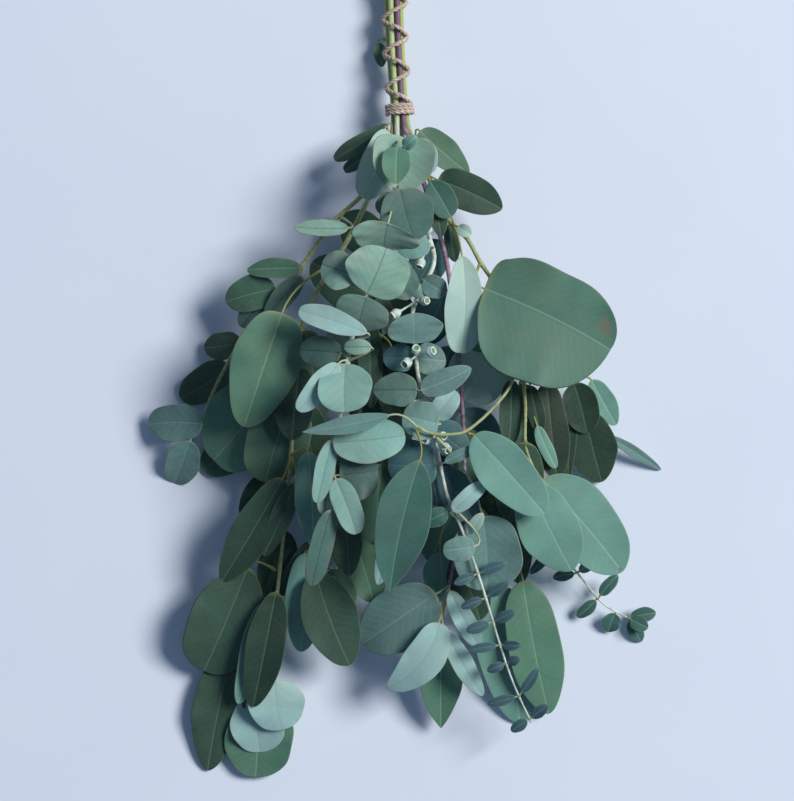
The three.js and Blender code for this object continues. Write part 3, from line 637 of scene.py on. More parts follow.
@dataclass(frozen=True)
class SurfaceFinish(Finish):
    """Plain matte painted board, hardly mottled."""

    name: str = "pale_painted_board"
    paint: str = "#dde3f0"
    cloud: str = "#d5dcea"
    cloud_size: float = 166.7
    roughness: float = 0.9
    gloss: float = 0.2

    def make(self) -> bpy.types.Material:
        """Make the board's material."""
        material, (clouds,) = self.start((self.cloud_size, 4.0))
        tree = material.node_tree
        colour = lay_coats(tree, self.paint, (Coat(self.cloud, clouds),))
        shader = add_node(tree, "ShaderNodeBsdfPrincipled", inputs={
            "Base Color": colour, "Roughness": self.roughness, "Specular IOR Level": self.gloss})
        add_node(tree, "ShaderNodeOutputMaterial", inputs={"Surface": shader})
        return material


DEEP = LeafFinish("deep_green_leaf_wax", "deep_green_leaf", face="#2f483c", light="#3e594b",
                  back="#5f7b6d", rib="#6f8a72", blush="#495340", rim="#6d7a5e", bloom=0.04)
MOSS = LeafFinish("moss_green_leaf_wax", "green_leaf", face="#41604f", light="#4e715d",
                  back="#799585", rib="#83a084", blush="#5c6b52", rim="#84896a", bloom=0.05)
TEAL = LeafFinish("teal_leaf_wax", "deep_green_leaf", face="#385e56", light="#456d64",
                  back="#73958d", rib="#7d9f90", blush="#4a6356", rim="#7b8a76", bloom=0.06)
GREEN = LeafFinish("green_leaf_wax", "green_leaf", face="#4d7562", light="#5c8771",
                   back="#82a195", rib="#98b598", blush="#667a61", rim="#93917a")
FERN = LeafFinish("fern_green_leaf_wax", "green_leaf", face="#446959", light="#517868",
                  back="#7d9b8e", rib="#8fac92", blush="#5c7059", rim="#8b8c72")
MINT = LeafFinish("mint_leaf_wax", "mint_leaf", face="#679285", light="#77a597",
                  back="#a2c3b3", rib="#a6c9b4", blush="#73977f", rim="#a0a88e")
PALE = LeafFinish("pale_leaf_wax", "pale_leaf", face="#94b0a6", light="#a7c3b9",
                  back="#c2dad2", rib="#c2d8cc", blush="#a6baa9", rim="#b3ab9b")
GREY = LeafFinish("grey_leaf_wax", "grey_leaf", face="#749485", light="#89af9d",
                  back="#b3cec0", rib="#3f564e", blush="#939084", rim="#8a7364", stalk="#aab08c",
                  speckle=0.09, vein_strength=0.15, rib_strength=0.6)
SAGE = LeafFinish("sage_leaf_wax", "grey_leaf", face="#6f978d", light="#81ada3",
                  back="#acc7bf", rib="#55736c", blush="#89998d", rim="#93806f", stalk="#aab08c",
                  speckle=0.09, vein_strength=0.15)
FROST = LeafFinish("frosted_leaf_wax", "blue_leaf", face="#8eb0ac", light="#a5cac4",
                   back="#bdd7d2", rib="#6c8c8b", blush="#a2b4a7", rim="#a39a8c", stalk="#a8b08e",
                   speckle=0.09, vein_strength=0.1, bloom=0.14, rib_strength=0.3)
BLUE = LeafFinish("blue_leaf_wax", "blue_leaf", face="#597975", light="#6c938d",
                  back="#94b5ad", rib="#8aa8a4", blush="#708177", rim="#8f8c80", stalk="#a8b08e",
                  speckle=0.08, vein_strength=0.15, bloom=0.14)
SLATE = LeafFinish("slate_leaf_wax", "blue_leaf", face="#385c61", light="#487175",
                   back="#81a8aa", rib="#6c8c8e", blush="#576a68", rim="#6e8486", stalk="#98a284",
                   speckle=0.05, vein_strength=0.1)
STEEL = LeafFinish("steel_blue_leaf_wax", "blue_leaf", face="#2f4b53", light="#3f6168",
                   back="#6c9093", rib="#5f7f83", blush="#4c5e60", rim="#5f767a", stalk="#98a284",
                   speckle=0.05, vein_strength=0.1)
# Darker copy of the grey finish: painted shade on grey leaves that lie in shade
SHADED_GREY = LeafFinish("shaded_grey_leaf_wax", "grey_leaf", face="#436059", light="#56776e",
                  back="#92afa3", rib="#27403a", blush="#6c6d64", rim="#7d6a5c", stalk="#98a084",
                  speckle=0.05, vein_strength=0.15, rib_strength=0.6)
BROWN = LeafFinish("browned_leaf_wax", "green_leaf", face="#29392d", light="#36473b",
                   back="#6d7d6c", rib="#737d64", blush="#453f32", rim="#6b6752")
# Darker copy of the deep green finish: painted shade on leaves that lie in shade
SHADE = LeafFinish("shaded_leaf_wax", "deep_green_leaf", face="#273f33", light="#334d40",
                   back="#54705f", rib="#65806b", blush="#3a4536", rim="#64725a", bloom=0.03)

OLIVE_BARK = StemFinish("olive_young_bark", "olive_stem", skin="#a2a973", shade="#7d8052",
                        bloom="#b9c09a", old="#9fb35c", waxed=0.25)
PURPLE_BARK = StemFinish("purple_young_bark", "purple_stem", skin="#937288", shade="#6a4c62",
                         bloom="#b3a2b3", old="#6a4a62", waxed=0.35)
WHITE_BARK = StemFinish("white_waxed_bark", "white_stem", skin="#bcc4ba", shade="#9aa58e",
                        bloom="#d6dcd6", old="#a5b868", waxed=0.8)
NUT = NutFinish()
JUTE = TwineFinish()


class TreeKind(Enum):
    """Types of a named input of a geometry tree."""

    SHAPE = "NodeSocketGeometry"
    NUMBER = "NodeSocketFloat"
    COUNT = "NodeSocketInt"
    SOLID = "NodeSocketObject"
    FINISH = "NodeSocketMaterial"


class GrowthTree:
    """A geometry node tree with named inputs that turns a start mesh into a plain mesh."""

    def __init__(self, name: str, inputs: dict[str, TreeKind]) -> None:
        """Start a tree.

        Args:
            name: Name of the tree.
            inputs: Named inputs after the start mesh.
        """
        self.tree = bpy.data.node_groups.new(name, "GeometryNodeTree")
        for label, kind in {"Start": TreeKind.SHAPE, **inputs}.items():
            self.tree.interface.new_socket(label, in_out="INPUT", socket_type=kind.value)
        self.tree.interface.new_socket("Grown", in_out="OUTPUT", socket_type=TreeKind.SHAPE.value)
        self.given = add_node(self.tree, "NodeGroupInput").outputs

    def node(self, kind: str, settings: dict[str, Any] | None = None, **inputs: Any) -> bpy.types.Node:
        """Add a node, with underscores for the spaces in socket names."""
        named = {key.replace("_", " "): value for key, value in inputs.items()}
        return add_node(self.tree, kind, settings, named)

    def rods(self, curve: bpy.types.Node, sides: Any, radius: Any = 1.0, **more: Any) -> bpy.types.Node:
        """Sweep closed round rods along a curve.

        Args:
            curve: The curve.
            sides: Sides of a rod.
            radius: Its radius.
            **more: Other inputs of the sweep.

        Returns:
            The rods.
        """
        ring = self.node("GeometryNodeCurvePrimitiveCircle", Resolution=sides, Radius=radius)
        return self.node("GeometryNodeCurveToMesh", Curve=curve, Profile_Curve=ring, Fill_Caps=True, **more)

    def close(self, shape: bpy.types.Node) -> None:
        """End the tree in one real mesh with the finish on it."""
        real = self.node("GeometryNodeRealizeInstances", Geometry=shape)
        dressed = self.node("GeometryNodeSetMaterial", Geometry=real, Material=self.given["Finish"])
        self.node("NodeGroupOutput", Grown=dressed)

    def grow(self, start: bpy.types.Mesh, **values: Any) -> bpy.types.Mesh:
        """Run the tree.

        Args:
            start: Start mesh, in metres.
            **values: Named inputs, with underscores for spaces.

        Returns:
            The grown plain mesh.
        """
        carrier = bpy.data.objects.new("carrier", start)
        bpy.context.collection.objects.link(carrier)
        modifier = carrier.modifiers.new("growth", "NODES")
        modifier.node_group = self.tree
        sockets = {item.name: item.identifier for item in self.tree.interface.items_tree}
        for label, value in values.items():
            modifier[sockets[label.replace("_", " ")]] = value
        evaluated = carrier.evaluated_get(bpy.context.evaluated_depsgraph_get())
        grown = bpy.data.meshes.new_from_object(evaluated)
        bpy.data.objects.remove(carrier)
        bpy.data.meshes.remove(start)
        return grown


def stem_tree() -> GrowthTree:
    """Build the tree that sweeps a knobbly round stem along a path."""
    growth = GrowthTree("stem_growth", {
        "Sides": TreeKind.COUNT, "Knob Height": TreeKind.NUMBER, "Knob Size": TreeKind.NUMBER,
        "Finish": TreeKind.FINISH})
    given, tree = growth.given, growth.tree
    curve = growth.node("GeometryNodeMeshToCurve", Mesh=given["Start"])
    radius = growth.node("GeometryNodeInputNamedAttribute", {"data_type": "FLOAT"}, Name="radius")
    swept = growth.rods(curve, given["Sides"], Scale=radius)
    often = add_node(tree, "ShaderNodeMath", {"operation": "DIVIDE"}, {0: 1.0, 1: given["Knob Size"]})
    knobs = growth.node("ShaderNodeTexNoise", Scale=often, Detail=2.0)
    centred = add_node(tree, "ShaderNodeMath", {"operation": "SUBTRACT"}, {0: knobs, 1: 0.5})
    proud = add_node(tree, "ShaderNodeMath", {"operation": "MULTIPLY"}, {
        0: centred, 1: given["Knob Height"]})
    outward = growth.node("GeometryNodeInputNormal")
    moved = add_node(tree, "ShaderNodeVectorMath", {"operation": "SCALE"}, {0: outward, "Scale": proud})
    growth.close(growth.node("GeometryNodeSetPosition", Geometry=swept, Offset=moved))
    return growth


def nut_tree(stalk_sides: int = 8) -> GrowthTree:
    """Build the tree that sets gum nuts on the ends of their stalks.

    Args:
        stalk_sides: Sides of a stalk.

    Returns:
        The tree.
    """
    growth = GrowthTree("gum_nut_growth", {"Nut": TreeKind.SOLID, "Finish": TreeKind.FINISH})
    given = growth.given
    axis, bears, size, radius = (
        growth.node("GeometryNodeInputNamedAttribute", {"data_type": kind}, Name=name)
        for name, kind in (
            ("axis", "FLOAT_VECTOR"), ("bears", "BOOLEAN"), ("size", "FLOAT"), ("radius", "FLOAT")))
    nut = growth.node("GeometryNodeObjectInfo", Object=given["Nut"]).outputs["Geometry"]
    turned = growth.node("FunctionNodeAlignRotationToVector", {"axis": "Z"}, Vector=axis)
    nuts = growth.node("GeometryNodeInstanceOnPoints", Points=given["Start"], Instance=nut,
                       Selection=bears, Rotation=turned, Scale=size)
    curve = growth.node("GeometryNodeMeshToCurve", Mesh=given["Start"])
    stalks = growth.rods(curve, stalk_sides, Scale=radius)
    growth.close(growth.node("GeometryNodeJoinGeometry", Geometry=[nuts, stalks]))
    return growth


def twine_tree(
    strands: int = 3, strand_sides: int = 7, fibre_cuts: int = 4, fibre_sides: int = 3,
) -> GrowthTree:
    """Build the tree that spins strands round a path and roughens them with loose fibres.

    Args:
        strands: Number of strands that are spun together.
        strand_sides: Sides of a strand.
        fibre_cuts: Steps along a fibre.
        fibre_sides: Sides of a fibre.

    Returns:
        The tree.
    """
    sizes = ("Strand Radius", "Spin Radius", "Spin Length", "Fibre Length", "Fibre Radius", "Fibres")
    growth = GrowthTree("twine_growth", {
        **dict.fromkeys(sizes, TreeKind.NUMBER), "Seed": TreeKind.COUNT, "Finish": TreeKind.FINISH})
    given, tree = growth.given, growth.tree
    curve = growth.node("GeometryNodeMeshToCurve", Mesh=given["Start"])
    walked = growth.node("GeometryNodeSplineParameter").outputs["Length"]
    turns = add_node(tree, "ShaderNodeMath", {"operation": "DIVIDE"}, {0: walked, 1: given["Spin Length"]})
    normal = growth.node("GeometryNodeInputNormal")
    tangent = growth.node("GeometryNodeInputTangent")
    side = add_node(tree, "ShaderNodeVectorMath", {"operation": "CROSS_PRODUCT"}, {0: tangent, 1: normal})
    spun = []
    for strand in range(strands):
        angle = add_node(tree, "ShaderNodeMath", {"operation": "MULTIPLY_ADD"}, {
            0: turns, 1: 2 * math.pi, 2: 2 * math.pi * strand / strands})
        parts = []
        for operation, direction in (("COSINE", normal), ("SINE", side)):
            swing = add_node(tree, "ShaderNodeMath", {"operation": operation}, {0: angle})
            reach = add_node(tree, "ShaderNodeMath", {"operation": "MULTIPLY"}, {
                0: swing, 1: given["Spin Radius"]})
            parts.append(add_node(tree, "ShaderNodeVectorMath", {"operation": "SCALE"}, {
                0: direction, "Scale": reach}))
        offset = add_node(tree, "ShaderNodeVectorMath", {"operation": "ADD"}, {0: parts[0], 1: parts[1]})
        moved = growth.node("GeometryNodeSetPosition", Geometry=curve, Offset=offset)
        spun.append(growth.rods(moved, strand_sides, given["Strand Radius"]))
    twine = growth.node("GeometryNodeJoinGeometry", Geometry=spun)

    # A loose fibre is one unit long and curls away from the strand
    hair = growth.node("GeometryNodeCurvePrimitiveBezierSegment", Resolution=fibre_cuts,
                       Start=(0.0, 0.0, 0.0), Start_Handle=(0.2, 0.0, 0.3),
                       End_Handle=(0.7, 0.2, 0.35), End=(1.0, 0.3, 0.2))
    thin = add_node(tree, "ShaderNodeMath", {"operation": "DIVIDE"}, {
        0: given["Fibre Radius"], 1: given["Fibre Length"]})
    fibre = growth.rods(hair, fibre_sides, thin)
    roots = growth.node("GeometryNodeDistributePointsOnFaces", Mesh=twine, Density=given["Fibres"],
                        Seed=given["Seed"])
    spin = add_node(tree, "FunctionNodeRandomValue", inputs={"Max_001": 2 * math.pi, "Seed": given["Seed"]})
    about = growth.node("FunctionNodeAxisAngleToRotation", Axis=(0.0, 0.0, 1.0), Angle=spin)
    turned = growth.node("FunctionNodeRotateRotation", {"rotation_space": "LOCAL"},
                         Rotation=roots.outputs["Rotation"], Rotate_By=about)
    hairs = growth.node("GeometryNodeInstanceOnPoints", Points=roots, Instance=fibre, Rotation=turned,
                        Scale=given["Fibre Length"])
    growth.close(growth.node("GeometryNodeJoinGeometry", Geometry=[twine, hairs]))
    return growth


def path_mesh(paths: Sequence[np.ndarray]) -> bpy.types.Mesh:
    """Make a mesh of bare edges along rows of points in millimetres."""
    mesh = bpy.data.meshes.new("path")
    edges = []
    start = 0
    for points in paths:
        edges += [(i, i + 1) for i in range(start, start + len(points) - 1)]
        start += len(points)
    mesh.from_pydata((np.vstack(paths) * MM).tolist(), edges, [])
    return mesh


@dataclass
class Stem:
    """A stem or twig, thickened a little where leaves grow from it."""

    node: str
    finish: StemFinish
    points: list[np.ndarray]
    thick: float = STEM_RADIUS
    thin: float = STEM_END_RADIUS
    step: float = 1.5
    sides: int = 14
    swelling: float = 0.22
    swelling_length: float = 3.0
    knob_height: float = 0.45
    knob_size: float = 2.5
    joints: list[float] = field(default_factory=list)
    path: Path = field(init=False)

    def __post_init__(self) -> None:
        """Lay the stem's path."""
        self.path = Path(self.points)

    def radius(self, share: float | np.ndarray) -> float | np.ndarray:
        """Give the plain radius at a share of the length."""
        return self.thick + (self.thin - self.thick) * share

    def mesh(self, growth: GrowthTree) -> bpy.types.Mesh:
        """Sweep the stem.

        Args:
            growth: Tree that sweeps stems.

        Returns:
            The stem's mesh.
        """
        shares = np.linspace(0.0, 1.0, int(self.path.length / self.step) + 2)
        radius = self.radius(shares)
        for joint in self.joints:
            apart = (shares - joint) * self.path.length / self.swelling_length
            radius = radius * (1 + self.swelling * np.exp(-apart ** 2))
        start = path_mesh([self.path.at(shares)])
        store(start, "radius", radius * MM)
        store(start, "along", shares * self.path.length)
        store(start, "tied", np.full(len(shares), float(self.thick == STEM_RADIUS)))
        return growth.grow(start, Sides=self.sides, Knob_Height=self.knob_height * MM,
                           Knob_Size=self.knob_size * MM, Finish=self.finish.material())

    def build(self, growth: GrowthTree) -> None:
        """Make the stem a piece of its own."""
        add_piece(self.node, self.mesh(growth))

    def sideways(self, at: Spot, toward: Spot) -> list[np.ndarray]:
        """Give the first two points of a twig that leaves this stem sideways.

        Args:
            at: Spot on the stem.
            toward: Spot that the twig heads for.

        Returns:
            Two points.
        """
        share = self.path.nearest(VIEW.place(at))
        middle = self.path.at(share)
        away = self.path.off_axis(share, VIEW.place(toward) - middle)
        seat = self.radius(share) + TOUCH_GAP
        return [middle + away * reach for reach in (seat, seat + TWIG_START)]

    def onward(self) -> list[np.ndarray]:
        """Give the first two points of a sprig that carries on from the stem's end."""
        end, ahead = self.path.at(1.0), self.path.tangent(1.0)
        return [end + ahead * reach for reach in (TOUCH_GAP, TOUCH_GAP + TWIG_START)]


class Outline(Enum):
    """Leaf outlines: how fast the width grows from the foot and falls off to the tip."""

    ROUND = (0.42, 0.44)
    DISC = (0.36, 0.44)
    OVAL = (0.5, 0.58)
    LANCE = (0.75, 0.95)
    HEART = (0.4, 0.6)
    EGG = (0.58, 0.42)

    def width(self, share: np.ndarray) -> np.ndarray:
        """Give the width at shares of the length, as a share of the full width."""
        grow, fall = self.value
        peak = grow / (grow + fall)
        return share ** grow * (1 - share) ** fall / (peak ** grow * (1 - peak) ** fall)


ROUND, DISC, OVAL, LANCE, HEART, EGG = Outline


@dataclass(frozen=True)
class Blade:
    """One leaf blade, from its foot to its tip.

    foot and tip are spots of the photo with a height, wide and arch are millimetres, and roll is in
    degrees. cup and fold raise the rims as shares of the half width, bow bends the midrib sideways as
    a share of the length, and skew widens the left half and narrows the right. scar is its share of
    the length, its place across and its size in millimetres.
    """

    foot: Spot
    tip: Spot
    wide: float
    arch: float = 2.0
    roll: float = 0.0
    cup: float = 0.06
    fold: float = 0.0
    bow: float = 0.0
    skew: float = 0.0
    shape: Outline | None = None
    finish: LeafFinish | None = None
    scar: tuple[float, float, float] | None = None


@dataclass(frozen=True)
class BladeGrid:
    """How finely a blade is cut along and across."""

    stalk_cuts: int
    blade_cuts: int
    across: tuple[float, ...]

    def ring(self) -> tuple[np.ndarray, np.ndarray]:
        """Give each ring point's place across the blade and whether it is above or below."""
        over = [*self.across, *(-v for v in self.across[-2::-1])]
        under = over[-2:0:-1]
        side = np.array((*over, *under))
        above = np.array((*([1.0] * len(over)), *([-1.0] * len(under))))
        above[[0, len(over) - 1]] = 0.0
        return side, above


BROAD_GRID = BladeGrid(6, 30, (1.0, 0.97, 0.9, 0.78, 0.6, 0.4, 0.2, 0.07, 0.0))
SMALL_GRID = BladeGrid(3, 14, (1.0, 0.93, 0.65, 0.3, 0.0))
SMALL_WIDTH = 12.0


@dataclass
class LeafMaker:
    """Makes leaf skins, each a little different from the next.

    Plain sizes are millimetres, angles are degrees, and the rest are shares of the blade's length or
    half width. A wave is its height and how many times it runs along the blade, and section is the
    power that rounds the stalk's edge and what the flat blade adds to it.
    """

    seed: int
    bow: float = 0.03
    droop: float = 0.03
    tilt: float = 5.0
    twist: float = 14.0
    lopsided: float = 0.04
    cupping: float = 0.07
    crease: float = 0.06
    creasing: float = 0.07
    stalk_bend: float = 0.45
    stalk_flare: Pair = (-0.6, -1.0)
    tip_taper: Pair = (0.0, 0.3)
    flattening: Pair = (0.0, 0.12)
    thinning_width: float = 2.0
    section: Pair = (2.0, 4.0)
    scallop: Pair = (0.035, 1.6)
    sway: Pair = (0.06, 1.3)
    ripple: Pair = (0.02, 3.4)
    groove_width: float = 0.7
    groove_depth: Pair = (0.22, 0.4)
    groove_fade: float = 0.6
    lowest: float = 0.1
    random: np.random.Generator = field(init=False)

    def __post_init__(self) -> None:
        """Start from the fixed seed."""
        self.random = np.random.default_rng(self.seed)

    def leaf(
        self, root: np.ndarray, blade: Blade, outline: Outline, finish: LeafFinish, lift: float,
    ) -> Patch:
        """Make one leaf with its stalk.

        Args:
            root: Where the stalk leaves the stem, in millimetres.
            blade: The blade.
            outline: Its outline, unless the blade has one of its own.
            finish: Its finish, unless the blade has one of its own.
            lift: How far the blade stands above its spots.

        Returns:
            The leaf's skin.
        """
        bow, lean, twist, droop, lopsided, tint, crease, tilt = self.random.uniform(-1, 1, 8)
        phase = self.random.uniform(0, 2 * np.pi, (2, 3))
        outline = blade.shape or outline
        grid = SMALL_GRID if blade.wide < SMALL_WIDTH else BROAD_GRID
        rise = UP * lift
        foot, tip = VIEW.place(blade.foot) + rise, VIEW.place(blade.tip) + rise
        along = tip - foot
        length = float(np.linalg.norm(along))
        left = unit(np.cross(UP, along))

        # The line from the root along the stalk and the midrib to the tip
        cuts = (1 - np.cos(np.pi * np.arange(grid.blade_cuts + 1) / grid.blade_cuts)) / 2
        crown = (4 * cuts * (1 - cuts))[:, None]
        bulge = UP * blade.arch + left * (self.bow * bow + blade.bow) * length
        spine = foot + along * cuts[:, None] + crown * bulge
        spine = spine + UP * (droop * self.droop * length * cuts ** 2)[:, None]
        start = unit(spine[1] - spine[0])
        bend = foot - start * np.linalg.norm(foot - root) * self.stalk_bend
        t = (np.arange(grid.stalk_cuts) / grid.stalk_cuts)[:, None]
        stalk = (1 - t) ** 2 * root + 2 * t * (1 - t) * bend + t ** 2 * foot
        line = np.vstack((stalk, spine))
        share = np.concatenate((t[:, 0] - 1, cuts))
        on_blade = np.clip(share, 0.0, 1.0)
        forward = unit(np.gradient(line, axis=0))
        side = unit(left - (forward @ left)[:, None] * forward)
        turn = np.radians(blade.roll + self.tilt * tilt + self.twist * twist * (on_blade - 0.5))[:, None]
        side = side * np.cos(turn) + np.cross(forward, side) * np.sin(turn)
        face = np.cross(forward, side)

        # Half width and thickness, from a round stalk to a flat blade
        grown = np.where(share < 0, 0.0, outline.width(on_blade)) * blade.wide / 2
        slim = STALK_RADIUS + (STALK_BASE_RADIUS - STALK_RADIUS) * smooth_step(*self.stalk_flare, share)
        slim = slim + (TIP_HALF_WIDTH - slim) * smooth_step(*self.tip_taper, on_blade)
        half = np.maximum(grown, slim)[:, None]
        flat = smooth_step(*self.flattening, on_blade)[:, None]
        thinned = np.minimum(1.0, half / self.thinning_width)
        thick = 2 * slim[:, None] * (1 - flat) + LEAF_THICKNESS * flat * thinned

        # Uneven rims, a cupped and creased face and a groove at the midrib
        v, above = grid.ring()
        rim = np.abs(v)
        stalk_power, more_power = self.section
        skin = above * thick / 2 * np.sqrt(1 - rim ** (stalk_power + more_power * flat))
        turns = 2 * np.pi * on_blade[:, None]
        uneven = blade.skew + self.lopsided * lopsided
        (scallop, scallops), (sway, sways), (ripple, ripples) = self.scallop, self.sway, self.ripple
        rough = [1 + sign * uneven + scallop * np.sin(scallops * turns + p[0])
                 for sign, p in zip((1, -1), phase)]
        waves = [sway * np.sin(sways * turns + p[1]) + ripple * np.sin(ripples * turns + p[2])
                 for p in phase]
        edge = 1 + (np.where(v > 0, *rough) - 1) * flat
        cup = blade.cup + self.cupping * lean + np.where(v > 0, *waves)
        fold = blade.fold + self.crease + self.creasing * crease
        lifted = grown[:, None] * (cup * rim ** 2 + fold * rim)
        depth = np.where(above > 0, *self.groove_depth) * (1 - self.groove_fade * on_blade[:, None])
        groove = -np.exp(-(v * half / self.groove_width) ** 2) * flat * depth
        spread = side[:, None] * (v * half * edge)[..., None]
        points = line[:, None] + spread + face[:, None] * (lifted + skin + groove)[..., None]
        points[..., 2] = np.maximum(points[..., 2], self.lowest + LEAF_THICKNESS * (above > 0))

        # Values that the finish reads
        walked = np.concatenate(((0.0,), np.cumsum(np.linalg.norm(np.diff(line, axis=0), axis=1))))
        walked -= walked[grid.stalk_cuts]
        shape = points.shape[:2]
        across = np.broadcast_to(v * half, shape)
        spots = (across, np.broadcast_to(walked[:, None], shape), half - np.abs(across))
        growth = (np.broadcast_to(above > -0.5, shape), np.full(shape, 0.5 + 0.5 * tint),
                  np.broadcast_to(share[:, None], shape))
        blemish = np.zeros(shape)
        if blade.scar:
            at, beside, size = blade.scar
            apart = np.hypot((on_blade[:, None] - at) * length, (v - beside) * half)
            blemish = np.exp(-(apart / size) ** 2)
        return Patch(
            points=points.reshape(-1, 3),
            faces=ring_faces(*shape),
            finish=blade.finish or finish,
            blade=np.stack(spots, -1).reshape(-1, 3),
            growth=np.stack(growth, -1).reshape(-1, 3).astype(float),
            blemish=blemish.ravel(),
        )


def settled_lift(node: str, tip: np.ndarray) -> float:
    """Measure how far the solid's blade rose on its stalk to lie clear of what is under it.

    Args:
        node: Solid of the leaf.
        tip: Tip of the blade before it rose, in millimetres.

    Returns:
        The rise in millimetres.
    """
    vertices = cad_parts[node].data.vertices
    points = np.empty(len(vertices) * 3)
    vertices.foreach_get("co", points)
    points = points.reshape(-1, 3) / MM
    near = points[np.hypot(points[:, 0] - tip[0], points[:, 1] - tip[1]) < TIP_REACH, 2]
    if not len(near):
        LOG.warning("%s has no tip at %s", node, tip)
        return 0.0
    return float(near.min() + near.max()) / 2 - float(tip[2])


@dataclass
class LeafGroup:
    """Leaves that grow from one place of a stem."""

    node: str
    stem: str
    finish: LeafFinish
    outline: Outline
    blades: tuple[Blade, ...]
    at: Spot | None = None

    def joint(self, stem: Stem) -> float:
        """Give the share of the stem's length where the leaves grow."""
        return stem.path.nearest(VIEW.place(self.at or self.blades[0].foot))

    def root(self, stem: Stem) -> np.ndarray:
        """Give the place of the bud that the stalks leave from."""
        share = self.joint(stem)
        middle = stem.path.at(share)
        if len(self.blades) > 1:
            mean = sum(blade.foot[2] for blade in self.blades) / len(self.blades)
            away = UP if mean >= middle[2] else -UP
        else:
            away = VIEW.place(self.blades[0].foot) - middle
        return middle + stem.path.off_axis(share, away) * (stem.radius(share) + TOUCH_GAP + BUD_SEAT)

    def build(self, stem: Stem, maker: LeafMaker) -> None:
        """Make the leaves one piece."""
        root = self.root(stem)
        patches = []
        for blade in self.blades:
            lift = settled_lift(self.node, VIEW.place(blade.tip))
            patches.append(maker.leaf(root, blade, self.outline, self.finish, lift))
        add_patches(self.node, patches)


def grow_on_stem(stem: Stem, blades: Sequence[Blade], maker: LeafMaker) -> None:
    """Make the leaves that grew with their stem a piece of their own.

    Args:
        stem: The stem.
        blades: Its leaves.
        maker: Maker of leaves.
    """
    patches = []
    for blade in blades:
        root = stem.path.at(stem.path.nearest(VIEW.place(blade.foot)))
        lift = settled_lift(stem.node, VIEW.place(blade.tip))
        patches.append(maker.leaf(root, blade, OVAL, DEEP, lift))
    add_patches(stem.node + "_leaves", patches, replaces=False)


@dataclass(frozen=True)
class Leaflets:
    """Small leaves at one place of a sprig's twig."""

    foot: Spot
    tips: tuple[Spot, ...]
    wide: float
    finish: LeafFinish | None = None


@dataclass
class Sprig:
    """A twig with its own small leaves."""

    node: str
    finish: LeafFinish
    bark: StemFinish
    start: list[np.ndarray]
    spots: tuple[Spot, ...]
    leaves: tuple[Leaflets, ...]
    neck: float = 0.12
    arch: float = 1.0
    taper: float = 0.6
    sides: int = 10

    def build(self, growth: GrowthTree, maker: LeafMaker) -> None:
        """Make the leaves one piece and the twig another.

        Args:
            growth: Tree that sweeps stems.
            maker: Maker of leaves.
        """
        points = [*self.start, *(VIEW.place(spot) for spot in self.spots)]
        twig = Stem(
            self.node, self.bark, points, TWIG_RADIUS, TWIG_RADIUS * self.taper, sides=self.sides)
        patches = []
        for leaves in self.leaves:
            joint = twig.path.nearest(VIEW.place(leaves.foot))
            twig.joints.append(joint)
            for tip in leaves.tips:
                foot = tuple(a + (b - a) * self.neck for a, b in zip(leaves.foot, tip))
                blade = Blade(foot, tip, leaves.wide, self.arch, finish=leaves.finish)
                patches.append(maker.leaf(twig.path.at(joint), blade, OVAL, self.finish, 0.0))
        add_patches(self.node, patches)
        add_piece(self.node + "_twig", twig.mesh(growth), replaces=False)


@dataclass
class NutCluster:
    """Gum nuts on short stalks from one foot of the baby blue stem."""

    node: str
    foot: Spot
    nuts: tuple[Spot, ...]
    stalk_radius: float = 0.8
    stalk_taper: tuple[float, ...] = (1.35, 1.0, 0.85, 0.9, 1.2)
    sink: float = 0.6
    variety: float = 0.08

    def build(self, stem: Stem, growth: GrowthTree, nut: bpy.types.Object) -> None:
        """Make the cluster one piece.

        Args:
            stem: The stem that carries it.
            growth: Tree that sets nuts on stalks.
            nut: One nut, standing on its foot.
        """
        share = stem.path.nearest(VIEW.place(self.foot))
        seat = stem.radius(share) + TOUCH_GAP
        root = stem.path.at(share) + stem.path.off_axis(share, UP) * seat
        paths, axes, bears = [], [], []
        for spot in self.nuts:
            middle = VIEW.place(spot)
            axis = unit(middle - root)
            base = middle - axis * (NUT_LENGTH / 2)
            cuts = np.linspace(0.0, 1.0, len(self.stalk_taper))[:, None]
            paths.append(root + (base + axis * self.sink - root) * cuts)
            axes += [axis] * len(cuts)
            bears += [False] * (len(cuts) - 1) + [True]
        start = path_mesh(paths)
        taper = np.tile(self.stalk_taper, len(self.nuts))
        store(start, "axis", np.array(axes), "FLOAT_VECTOR")
        store(start, "bears", np.array(bears), "BOOLEAN")
        store(start, "radius", self.stalk_radius * taper * MM)
        store(start, "size", 1.0 + self.variety * np.sin(np.arange(len(bears))))
        add_piece(self.node, growth.grow(start, Nut=nut, Finish=NUT.material()))


